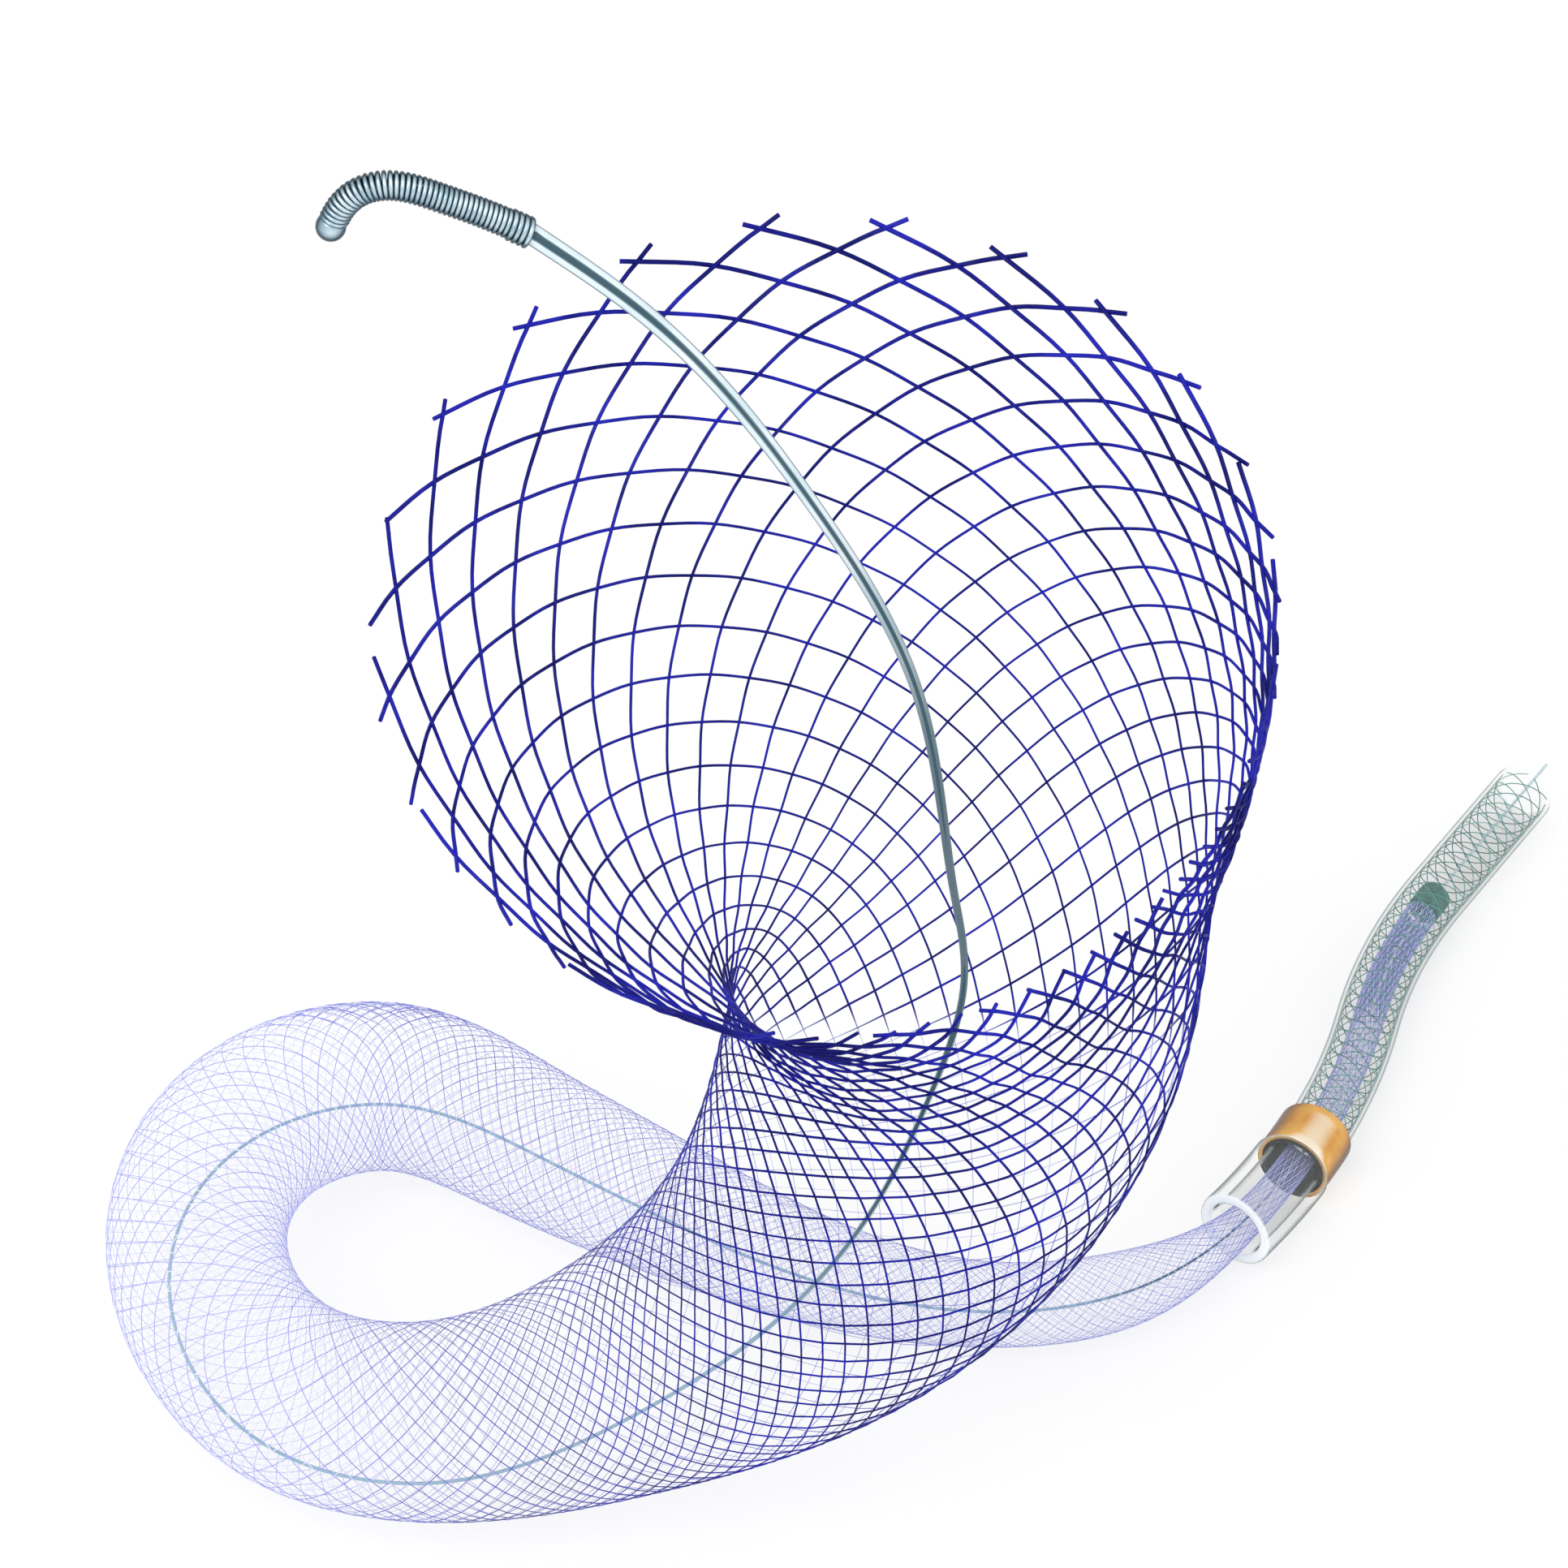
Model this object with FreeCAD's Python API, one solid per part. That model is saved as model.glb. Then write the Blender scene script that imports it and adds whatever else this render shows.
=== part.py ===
"""Braided flow diverter, half delivered from the soft tip of its catheter.

Millimetres, +Z up, with the floor at z = 0. The braid's line runs from its tail in the catheter, over the floor
and round one loop, up the neck and out to the flared mouth.
"""
import FreeCAD, Part

import math
import os
from bisect import bisect_right

from FreeCAD import Vector

# Braid: radii to the middle of the wall, and half of what two crossed wires take up
RIM_RADIUS = 3.02
NECK_RADIUS = 1.58
LOOP_RADIUS = 0.64
STRAND_RADIUS = 0.30
CRIMPED_RADIUS = 0.115
WALL_HALF = 0.038

# The mouth's plane leans back by this much, and its wires lie widest apart this far round to
# the left of its back
MOUTH_LEAN = 26.0
FRONT_CROWDING = 0.5
SPARSE_SIDE = 35.0

# Ribs per hand, each of three wires side by side, and the rows that are open between them
RIBS = 10
OPEN_ROWS = 12
RIB_HALF_WIDTH = 0.06
RIM_TIP = 0.24
VALLEY = 0.75
FLOOR_GAP = 0.01

# Catheter, with its line as bends and a straight end: radius and turn in degrees
MOUTH_X, MOUTH_Y, MOUTH_HEADING = 3.23, -0.21, 52.0
FIRST_BEND = (6.0, 24.0)
SECOND_BEND = (5.0, -18.0)
STRAIGHT_END = 1.40
TIP_OUTER = 0.30
TIP_WALL = 0.085
TIP_LENGTH = 0.80
SHAFT_OUTER = 0.24
JACKET_WALL = 0.028
BRAID_LAYER = 0.010
LINER_WALL = 0.014
LAYER_GAP = 0.003
BAND_LENGTH = 0.40
BAND_WALL = 0.040
LINER_SETBACK = 0.12
TAIL_DEPTH = 3.85

# Delivery wire, and the pad on it behind the braid's tail
WIRE_RADIUS = 0.030
WIRE_TOP_RADIUS = 0.070
WIRE_STUB = 0.40
PAD_RADIUS = 0.125
PAD_LENGTH = 0.22
FIT_GAP = 0.005
BELLY_SAG = 0.72

# Tip coil
COIL_RADIUS = 0.098
COIL_GROOVE = 0.020
COIL_TURNS = 20
COLLAR_LENGTH = 0.16
COLLAR_STEP = 0.010
BALL_RADIUS = 0.098
CORE_RADIUS = 0.028
CORE_GAP = 0.014
COIL_SIDES = 8

# Samples along the braid's line
SAMPLES = 1400

# The middle of the whole object's footprint, which becomes the origin
FOOTPRINT_X = 0.535
FOOTPRINT_Y = 0.845

# Free end of the wire in its upright plane: x and z from the neck to the collar, then on to the ball
WIRE_PLANE_Y = -1.25
FREE_WIRE = ((1.14, 4.40), (0.87, 6.15), (0.18, 7.70), (-0.85, 9.18), (-1.57, 9.82))
HOOK = ((-1.85, 9.97), (-2.14, 10.10), (-2.44, 10.19), (-2.60, 10.16), (-2.74, 10.04), (-2.82, 9.88))


def lying(x, y, radius, angle):
    """A place where the braid's belly touches the floor."""
    return (x, y, radius + WALL_HALF + FLOOR_GAP, radius, angle)


def between(first, last, share):
    """The value at a share of the way from one to the other."""
    return first + (last - first) * share


def flat(heading):
    """Unit vector over the floor at a heading in degrees."""
    turn = math.radians(heading)
    return Vector(math.cos(turn), math.sin(turn), 0)


class Smooth:
    """Natural cubic through rows of values at rising stations."""

    def __init__(self, stations, rows):
        self.t = stations
        self.rows = rows
        count = len(rows)
        width = len(rows[0])
        step = [b - a for a, b in zip(stations, stations[1:])]
        slope = [[(b - a) / h for a, b in zip(r, q)] for r, q, h in zip(rows, rows[1:], step)]
        self.bend = [[0.0] * width for _ in range(count)]
        carry = [0.0] * count
        for i in range(1, count - 1):
            pivot = 2 * (step[i - 1] + step[i]) - step[i - 1] * carry[i - 1]
            carry[i] = step[i] / pivot
            self.bend[i] = [(6 * (slope[i][j] - slope[i - 1][j]) - step[i - 1] * self.bend[i - 1][j]) / pivot
                            for j in range(width)]
        for i in range(count - 2, 0, -1):
            self.bend[i] = [self.bend[i][j] - carry[i] * self.bend[i + 1][j] for j in range(width)]

    def at(self, t):
        """The row of values at one station."""
        i = max(0, min(len(self.t) - 2, bisect_right(self.t, t) - 1))
        h = self.t[i + 1] - self.t[i]
        a = (self.t[i + 1] - t) / h
        b = 1 - a
        return [a * p + b * q + ((a ** 3 - a) * m + (b ** 3 - b) * n) * h * h / 6
                for p, q, m, n in zip(self.rows[i], self.rows[i + 1], self.bend[i], self.bend[i + 1])]


# Catheter's line
def catheter_stretches():
    """Each stretch as its start on the line, its length, start point, heading and signed radius."""
    place = Vector(MOUTH_X, MOUTH_Y, TIP_OUTER)
    heading = MOUTH_HEADING
    start = 0.0
    stretches = []
    for radius, turn in (FIRST_BEND, SECOND_BEND):
        length = radius * math.radians(abs(turn))
        signed = math.copysign(radius, turn)
        stretches.append((start, length, place, heading, signed))
        centre = place + flat(heading + 90) * signed
        place = centre - flat(heading + turn + 90) * signed
        heading += turn
        start += length
    stretches.append((start, STRAIGHT_END, place, heading, None))
    return stretches


STRETCHES = catheter_stretches()
CATHETER_LENGTH = STRETCHES[-1][0] + STRAIGHT_END


def catheter_place(depth):
    """Point and heading at a depth behind the catheter's mouth."""
    chosen = STRETCHES[0]
    for stretch in STRETCHES:
        if depth >= stretch[0]:
            chosen = stretch
    start, _, place, heading, radius = chosen
    run = depth - start
    if radius is None:
        return place + flat(heading) * run, heading
    turned = heading + math.degrees(run / radius)
    centre = place + flat(heading + 90) * radius
    return centre - flat(turned + 90) * radius, turned


# Braid's line, from its tail to its mouth: x, y, height, radius, rib angle
def in_catheter(depth, radius, angle):
    """A place on the braid's line inside the catheter."""
    point, _ = catheter_place(depth)
    return (point.x, point.y, point.z, radius, angle)


ROUTE = [
    in_catheter(TAIL_DEPTH, CRIMPED_RADIUS, 9),
    in_catheter(TAIL_DEPTH - 0.75, CRIMPED_RADIUS, 9),
    in_catheter(TAIL_DEPTH - 1.5, CRIMPED_RADIUS, 9),
    in_catheter(TAIL_DEPTH - 2.3, CRIMPED_RADIUS, 9),
    in_catheter(TAIL_DEPTH - 3.1, CRIMPED_RADIUS, 9),
    in_catheter(0.0, between(CRIMPED_RADIUS, STRAND_RADIUS, 0.15), 16),
    lying(2.51, -0.79, between(CRIMPED_RADIUS, STRAND_RADIUS, 0.8), 28),
    lying(1.63, -1.03, STRAND_RADIUS, 31),
    lying(0.77, -0.94, between(STRAND_RADIUS, LOOP_RADIUS, 0.12), 34),
    lying(-1.02, -0.12, between(STRAND_RADIUS, LOOP_RADIUS, 0.59), 40),
    lying(-1.91, 0.45, between(STRAND_RADIUS, LOOP_RADIUS, 0.76), 41),
    lying(-2.87, 0.92, between(STRAND_RADIUS, LOOP_RADIUS, 0.91), 41),
    lying(-3.65, 0.64, between(STRAND_RADIUS, LOOP_RADIUS, 0.97), 41),
    lying(-4.06, 0.03, LOOP_RADIUS, 41),
    lying(-3.89, -1.69, LOOP_RADIUS, 41),
    lying(-3.26, -2.38, LOOP_RADIUS + 0.02, 41),
    lying(-2.38, -2.59, between(LOOP_RADIUS, NECK_RADIUS, 0.06), 42),
    (-1.10, -2.32, 0.93, between(LOOP_RADIUS, NECK_RADIUS, 0.23), 43),
    (-0.17, -2.11, 1.41, between(LOOP_RADIUS, NECK_RADIUS, 0.47), 45),
    (0.52, -1.85, 2.05, between(LOOP_RADIUS, NECK_RADIUS, 0.73), 46),
    (0.98, -1.52, 2.75, between(LOOP_RADIUS, NECK_RADIUS, 0.91), 46),
    (1.21, -1.22, 3.42, NECK_RADIUS, 48),
    (1.17, -0.95, 4.10, between(NECK_RADIUS, RIM_RADIUS, 0.11), 53),
    (0.86, -0.60, 4.90, between(NECK_RADIUS, RIM_RADIUS, 0.465), 61),
    (0.29, -0.08, 5.79, RIM_RADIUS, 66),
]
FLARE_ROW = len(ROUTE) - 6
LOOP_MIDDLE = Vector(-2.5, -0.85, 0)


def route_stations():
    """Length of the straight runs from the tail to each place."""
    stations = [0.0]
    for a, b in zip(ROUTE, ROUTE[1:]):
        stations.append(stations[-1] + math.dist(a[:3], b[:3]))
    return stations


STATIONS = route_stations()
LINE = Smooth(STATIONS, ROUTE)


def square_to(direction, axis):
    """The direction with its share along the axis taken out, at unit length."""
    rest = direction - axis * direction.dot(axis)
    return rest.normalize()


class Ring:
    """One circle of the braid: its level in crossings below the rim, centre, radius and directions."""

    def __init__(self, level, centre, radius, back, side, crowding):
        self.level = level
        self.centre = centre
        self.radius = radius
        self.back = back
        self.side = side
        self.crowding = crowding

    def point(self, angle, offset):
        """A point on the wall at an angle from the back, in radians, and an offset outwards."""
        turn = math.radians(SPARSE_SIDE) + angle + math.asin(self.crowding * math.sin(angle))
        spoke = self.back * math.cos(turn) + self.side * math.sin(turn)
        return self.centre + spoke * (self.radius + offset)


def braid_rings():
    """Circles from the rim down to the tail, close enough together to read between them."""
    total = STATIONS[-1]
    step = total / SAMPLES
    lean = math.radians(90 - MOUTH_LEAN)
    mouth = Vector(0, -math.cos(lean), math.sin(lean))
    back = Vector(0, math.sin(lean), math.cos(lean))
    level = 0.0
    rings = []
    for i in range(SAMPLES + 1):
        s = total - i * step
        x, y, z, radius, angle = LINE.at(s)
        ahead = Vector(*LINE.at(min(total, s + step))[:3])
        behind = Vector(*LINE.at(max(0, s - step))[:3])
        share = max(0.0, (s - STATIONS[FLARE_ROW]) / (total - STATIONS[FLARE_ROW]))
        ease = share * share * (3 - 2 * share)
        along = (ahead - behind).normalize()
        axis = (along * (1 - ease) + mouth * ease).normalize()
        back = square_to(back, axis)
        rings.append(Ring(level, Vector(x, y, z), radius, back, axis.cross(back), FRONT_CROWDING * ease ** 1.5))
        level += math.tan(math.radians(angle)) / radius * step * RIBS / math.pi
    return rings


RINGS = braid_rings()
LEVELS = [ring.level for ring in RINGS]
LAST_LEVEL = int(LEVELS[-1])


def wall_point(level, step, offset=0.0):
    """A point on the wall, at a level below the rim and a step round it, half a rib's spacing each."""
    angle = step * math.pi / RIBS
    if level < 0:
        rim = wall_point(0, step, offset)
        return rim + (rim - wall_point(0.25, step, offset)) * (-level / 0.25)
    i = max(0, min(len(RINGS) - 2, bisect_right(LEVELS, level) - 1))
    share = (level - LEVELS[i]) / (LEVELS[i + 1] - LEVELS[i])
    above = RINGS[i].point(angle, offset)
    below = RINGS[i + 1].point(angle, offset)
    return above + (below - above) * share


class Skin:
    """Corners and triangles of one closed faceted surface."""

    def __init__(self):
        self.points = []
        self.numbers = {}
        self.triangles = []

    def corner(self, key, point):
        """The number of the corner with this key, made when it is new."""
        if key not in self.numbers:
            self.numbers[key] = len(self.points)
            self.points.append(point)
        return self.numbers[key]

    def face(self, corners, side=1):
        """A face of three or four corners, turned over on the inner side."""
        loop = corners if side > 0 else corners[::-1]
        for i in range(1, len(loop) - 1):
            self.triangles.append((loop[0], loop[i], loop[i + 1]))

    def solid(self):
        """The closed solid."""
        sheet = Part.Shape()
        sheet.makeShapeFromMesh((self.points, self.triangles), 1e-5, False)
        body = Part.Solid(Part.Shell(sheet.Faces))
        if body.Volume < 0:
            body.reverse()
        return body


# The braid's wall
def rib_node(skin, level, step, side):
    """Where two ribs cross, on the outer or the inner side."""
    step %= 2 * RIBS
    return skin.corner((level, step, side), wall_point(level, step, side * WALL_HALF))


def rib_middle(skin, level, step, side):
    """The middle of a rib between two crossings, on the outer or the inner side."""
    key = ("rib", level, step % (2 * RIBS), side)
    return skin.corner(key, wall_point(level, step, side * WALL_HALF))


def inset_share(level, step):
    """How far an opening's corners stand from its middle, as a share of the way to the crossings."""
    top = max(level - 1, 0)
    height = (wall_point(level + 1, step) - wall_point(top, step)).Length / (level + 1 - top)
    width = (wall_point(level, step + 1) - wall_point(level, step - 1)).Length / 2
    return max(0.35, 1 - RIB_HALF_WIDTH * math.hypot(width, height) / (width * height))


def opening_corner(skin, level, step, down, across):
    """One corner of the diamond opening whose middle is at this level and step."""
    step %= 2 * RIBS
    share = inset_share(level, step)
    point = wall_point(level + down * share, step + across * share)
    return skin.corner(("opening", level, step, down, across), point)


def ribs_round_opening(skin, level, step, side):
    """The four half ribs round one diamond opening, or the lower two below a notch of the rim."""
    share = inset_share(level, step)
    places = [(-1, 0), (0, 1), (1, 0), (0, -1)]
    first = 0 if level > 0 else 1
    last = 4 if level > 0 else 3
    for k in range(first, last):
        (down, across), (next_down, next_across) = places[k], places[(k + 1) % 4]
        begin = rib_node(skin, level + down, step + across, side)
        finish = rib_node(skin, level + next_down, step + next_across, side)
        inner_begin = opening_corner(skin, level, step, down, across)
        inner_finish = opening_corner(skin, level, step, next_down, next_across)
        half_down = (down + next_down) / 2
        half_across = (across + next_across) / 2
        rib = rib_middle(skin, level + half_down, step + half_across, side)
        bow = wall_point(level + half_down * share, step + half_across * share)
        opening = skin.corner(("bow", level, step % (2 * RIBS), half_down, half_across), bow)
        skin.face((begin, rib, opening, inner_begin), side)
        skin.face((rib, finish, inner_finish, opening), side)


def rim_tips(skin, step, side):
    """The two cut rib ends that stand above one crossing of the rim."""
    node = rib_node(skin, 0, step, side)
    near = opening_corner(skin, 0, step - 1, 0, 1)
    far = opening_corner(skin, 0, step + 1, 0, -1)
    left = skin.corner(("tip", step, -1), wall_point(-RIM_TIP, step - RIM_TIP))
    fork = skin.corner(("fork", step), wall_point(-RIM_TIP * 0.3, step))
    right = skin.corner(("tip", step, 1), wall_point(-RIM_TIP, step + RIM_TIP))
    for pair in ((near, left), (left, fork), (fork, right), (right, far)):
        skin.face((node, *pair), side)


def upper_ribs(skin, level, step, side, bowed):
    """Middles of the two ribs above a diamond, where those ribs are bowed."""
    if not bowed:
        return [], []
    return ([rib_middle(skin, level - 0.5, step + 0.5, side)], [rib_middle(skin, level - 0.5, step - 0.5, side)])


def closed_diamond(skin, level, step, bowed):
    """One closed diamond of the outer side, hollow between its ribs."""
    top = rib_node(skin, level - 1, step, 1)
    right = rib_node(skin, level, step + 1, 1)
    bottom = rib_node(skin, level + 1, step, 1)
    left = rib_node(skin, level, step - 1, 1)
    middle = skin.corner(("valley", level, step), wall_point(level, step, WALL_HALF * (1 - 2 * VALLEY)))
    right_bow, left_bow = upper_ribs(skin, level, step, 1, bowed)
    for run in ((top, *right_bow, right), (right, bottom), (bottom, left), (left, *left_bow, top)):
        skin.face((middle, *run))


def half_diamond(skin, level, step, side, bowed):
    """The upper half of a diamond, which closes the zigzag between two kinds of wall."""
    top = rib_node(skin, level - 1, step, side)
    right = rib_node(skin, level, step + 1, side)
    left = rib_node(skin, level, step - 1, side)
    right_bow, left_bow = upper_ribs(skin, level, step, side, bowed)
    skin.face((top, *right_bow, right, left, *left_bow), side)


def middles(level):
    """Steps of the openings' middles on one level."""
    return range((level + 1) % 2, 2 * RIBS, 2)


def braid():
    """The woven tube: open rows in the mouth and neck, and ribs with closed hollows in the rest."""
    skin = Skin()
    first_closed = OPEN_ROWS + 1
    last = LAST_LEVEL - (LAST_LEVEL - first_closed) % 2
    for side in (1, -1):
        for level in range(first_closed):
            for step in middles(level):
                ribs_round_opening(skin, level, step, side)
        for step in range(0, 2 * RIBS, 2):
            rim_tips(skin, step, side)
    for level in range(first_closed, last):
        for step in middles(level):
            closed_diamond(skin, level, step, level == first_closed)
    for step in middles(last):
        half_diamond(skin, last, step, 1, False)
    for step in middles(first_closed):
        half_diamond(skin, first_closed, step, -1, True)
    bore = list(range(first_closed, last, 4)) + [last]
    for upper, lower in zip(bore, bore[1:]):
        for step in middles(upper + 1):
            corners = [rib_node(skin, upper, step, -1), rib_node(skin, upper, step + 2, -1),
                       rib_node(skin, lower, step + 2, -1), rib_node(skin, lower, step, -1)]
            skin.face(corners, -1)
    for step in middles(last + 1):
        corners = [rib_node(skin, last, step, 1), rib_node(skin, last, step + 2, 1),
                   rib_node(skin, last, step + 2, -1), rib_node(skin, last, step, -1)]
        skin.face(corners)
    return skin.solid()


# Catheter
def ring_face(place, heading, inner, outer):
    """A ring square to the heading, or a disc where the inner radius is nothing."""
    normal = flat(heading)
    disc = Part.Face(Part.Wire(Part.makeCircle(outer, place, normal)))
    if inner <= 0:
        return disc
    return disc.cut(Part.Face(Part.Wire(Part.makeCircle(inner, place, normal))))


def catheter_tube(inner, outer, begin, end):
    """A tube along the catheter's line between two depths."""
    pieces = []
    for start, length, _, _, radius in STRETCHES:
        first = max(begin, start)
        last = min(end, start + length)
        if last - first < 1e-6:
            continue
        place, heading = catheter_place(first)
        ring = ring_face(place, heading, inner, outer)
        if radius is None:
            pieces.append(ring.extrude(flat(heading) * (last - first)))
            continue
        centre = place + flat(heading + 90) * radius
        turn = math.degrees((last - first) / abs(radius))
        pieces.append(ring.revolve(centre, Vector(0, 0, math.copysign(1, radius)), turn))
    solid = pieces[0]
    for piece in pieces[1:]:
        solid = solid.fuse(piece)
    return solid


JACKET_INNER = SHAFT_OUTER - JACKET_WALL
LAYER_OUTER = JACKET_INNER - LAYER_GAP
LAYER_INNER = LAYER_OUTER - BRAID_LAYER
LINER_OUTER = LAYER_INNER - LAYER_GAP
LINER_INNER = LINER_OUTER - LINER_WALL
BAND_START = TIP_LENGTH + FIT_GAP
BAND_END = BAND_START + BAND_LENGTH


def catheter_soft_tip():
    """Clear tube from the mouth to the band, over the end of the liner."""
    return catheter_tube(TIP_OUTER - TIP_WALL, TIP_OUTER, 0, TIP_LENGTH)


def marker_band():
    """Band round the first stretch of the jacket."""
    inner = SHAFT_OUTER + LAYER_GAP
    return catheter_tube(inner, inner + BAND_WALL, BAND_START, BAND_END)


def catheter_jacket():
    """Clear outer tube, which starts at the soft tip."""
    return catheter_tube(JACKET_INNER, SHAFT_OUTER, BAND_START, CATHETER_LENGTH)


def reinforcement_braid():
    """Sleeve of wire in the tube's wall, behind the band."""
    return catheter_tube(LAYER_INNER, LAYER_OUTER, BAND_END, CATHETER_LENGTH)


def catheter_liner():
    """Inner tube, which ends just inside the mouth."""
    return catheter_tube(LINER_INNER, LINER_OUTER, LINER_SETBACK, CATHETER_LENGTH)


# Delivery wire
def belly_place(s):
    """The wire's place inside the braid: on its line in the catheter and neck, on its belly in the loop."""
    x, y, z, radius, _ = LINE.at(s)
    centre = Vector(x, y, z)
    outward = centre - LOOP_MIDDLE
    outward.z = 0
    outward.normalize()
    rise = min(1.0, max(0.0, (s - STATIONS[5]) / (STATIONS[9] - STATIONS[5])))
    fall = min(1.0, max(0.0, (STATIONS[20] - s) / (STATIONS[20] - STATIONS[16])))
    sag = BELLY_SAG * min(rise, fall) * (min(radius, LOOP_RADIUS) - WALL_HALF)
    return centre + Vector(0, 0, -0.87 * sag) + outward * (0.5 * sag)


def wire_line():
    """Curve of the delivery wire, from behind the catheter to the collar."""
    points = []
    depth = CATHETER_LENGTH + WIRE_STUB
    while depth > TAIL_DEPTH + 0.1:
        points.append(catheter_place(depth)[0])
        depth -= 0.45
    points += [belly_place(s) for s in STATIONS[:22]]
    points += [Vector(x, WIRE_PLANE_Y, z) for x, z in FREE_WIRE]
    curve = Part.BSplineCurve()
    curve.interpolate(points)
    return curve


WIRE = wire_line()
COLLAR_PLACE = Vector(FREE_WIRE[-1][0], WIRE_PLANE_Y, FREE_WIRE[-1][1])


def ring_corners(skin, name, curve, rows, sides, across):
    """Corners of a run of rings square to a curve, each row being a parameter and a radius."""
    rings = []
    for i, (u, radius) in enumerate(rows):
        axis = Vector(*curve.tangent(u)[0])
        across = square_to(across, axis)
        other = axis.cross(across)
        ring = []
        for k in range(sides):
            turn = 2 * math.pi * k / sides
            spoke = across * math.cos(turn) + other * math.sin(turn)
            ring.append(skin.corner((name, i, k), curve.value(u) + spoke * radius))
        rings.append(ring)
    return rings


def join_rings(skin, lower, upper, side=1):
    """The faces between two rings."""
    count = len(lower)
    for k in range(count):
        after = (k + 1) % count
        skin.face((lower[k], lower[after], upper[after], upper[k]), side)


def swept(curve, rows, sides, bore=()):
    """Faceted round bar along a curve, with flat ends, or a tube where a bore's rows are given."""
    skin = Skin()
    across = Vector(0.11, 0.97, 0.21)
    rings = ring_corners(skin, "outer", curve, rows, sides, across)
    for lower, upper in zip(rings, rings[1:]):
        join_rings(skin, lower, upper)
    if not bore:
        skin.face(tuple(reversed(rings[0])))
        skin.face(tuple(rings[-1]))
        return skin.solid()
    inner = ring_corners(skin, "bore", curve, bore, sides, across)
    for lower, upper in zip(inner, inner[1:]):
        join_rings(skin, lower, upper, -1)
    join_rings(skin, inner[0], rings[0])
    join_rings(skin, rings[-1], inner[-1])
    return skin.solid()


def even_rows(curve, begin, end, first_radius, last_radius, steps):
    """Rows of parameter and radius at even lengths along a curve between two lengths from its start."""
    rows = []
    for i in range(steps + 1):
        run = between(begin, end, i / steps)
        u = curve.parameterAtDistance(run, curve.FirstParameter)
        rows.append((u, between(first_radius, last_radius, i / steps)))
    return rows


def hook_curve():
    """Curve of the tip coil's axis, from the end of the wire to the middle of the ball."""
    points = [COLLAR_PLACE] + [Vector(x, WIRE_PLANE_Y, z) for x, z in HOOK]
    curve = Part.BSplineCurve()
    start = Vector(*WIRE.tangent(WIRE.LastParameter)[0])
    curve.interpolate(Points=points, InitialTangent=start, FinalTangent=(points[-1] - points[-2]).normalize())
    return curve


HOOK_LINE = hook_curve()
HOOK_LENGTH = HOOK_LINE.length() - BALL_RADIUS
COIL_START = COLLAR_LENGTH + FIT_GAP
COIL_END = HOOK_LENGTH - FIT_GAP


def delivery_wire():
    """Core wire: even up to the neck, thicker up to the collar, and thin inside the coil."""
    neck = WIRE.parameter(Vector(FREE_WIRE[0][0], WIRE_PLANE_Y, FREE_WIRE[0][1]))
    whole = WIRE.length()
    low = WIRE.length(WIRE.FirstParameter, neck)
    lower = swept(WIRE, even_rows(WIRE, 0, low, WIRE_RADIUS, WIRE_RADIUS, 60), 6)
    upper = swept(WIRE, even_rows(WIRE, low, whole, WIRE_RADIUS, WIRE_TOP_RADIUS, 12), 6)
    core = swept(HOOK_LINE, even_rows(HOOK_LINE, 0, COIL_END, CORE_RADIUS, CORE_RADIUS, 10), 6)
    return lower.fuse([upper, core])


def resheathing_pad():
    """Ring of polymer on the wire, right behind the braid's tail."""
    begin = TAIL_DEPTH + FIT_GAP
    return catheter_tube(WIRE_RADIUS + FIT_GAP, PAD_RADIUS, begin, begin + PAD_LENGTH)


def coil_collar():
    """Sleeve against the end of the thick wire, where the coil starts."""
    outer = COIL_RADIUS + COLLAR_STEP
    inner = CORE_RADIUS + CORE_GAP
    return swept(HOOK_LINE, even_rows(HOOK_LINE, FIT_GAP, COLLAR_LENGTH, outer, outer, 2), 12,
                 even_rows(HOOK_LINE, FIT_GAP, COLLAR_LENGTH, inner, inner, 2))


def tip_coil():
    """Close-wound coil as a tube with a groove after each turn."""
    rows = []
    half_turns = 2 * COIL_TURNS
    for i, (u, radius) in enumerate(even_rows(HOOK_LINE, COIL_START, COIL_END, COIL_RADIUS, COIL_RADIUS,
                                              half_turns)):
        rows.append((u, radius - COIL_GROOVE if i % 2 == 0 else radius))
    inner = CORE_RADIUS + CORE_GAP
    return swept(HOOK_LINE, rows, COIL_SIDES, even_rows(HOOK_LINE, COIL_START, COIL_END, inner, inner, 10))


def tip_ball():
    """Welded ball at the end of the hook."""
    return Part.makeSphere(BALL_RADIUS, HOOK_LINE.value(HOOK_LINE.LastParameter))


NODES = {
    "braid": braid,
    "delivery_wire": delivery_wire,
    "resheathing_pad": resheathing_pad,
    "coil_collar": coil_collar,
    "tip_coil": tip_coil,
    "tip_ball": tip_ball,
    "catheter_soft_tip": catheter_soft_tip,
    "marker_band": marker_band,
    "catheter_jacket": catheter_jacket,
    "reinforcement_braid": reinforcement_braid,
    "catheter_liner": catheter_liner,
}


def main():
    """Writes one file for each piece."""
    os.makedirs("parts", exist_ok=True)
    for name, make in NODES.items():
        shape = make()
        shape.translate(Vector(-FOOTPRINT_X, -FOOTPRINT_Y, 0))
        shape.exportStep(f"parts/{name}.step")


main()
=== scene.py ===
"""The finished look of a braided flow diverter, half drawn out of the tip of its catheter.

Lengths in the classes are millimetres, turned to metres where a mesh is made. The braid is woven from
separate wires on the same line and circles as the solid part.
"""
from __future__ import annotations

import logging
import math
from bisect import bisect_right
from dataclasses import dataclass
from enum import Enum
from itertools import accumulate
from typing import Any, Callable, Sequence

import bpy
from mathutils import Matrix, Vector
from mathutils.kdtree import KDTree

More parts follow.
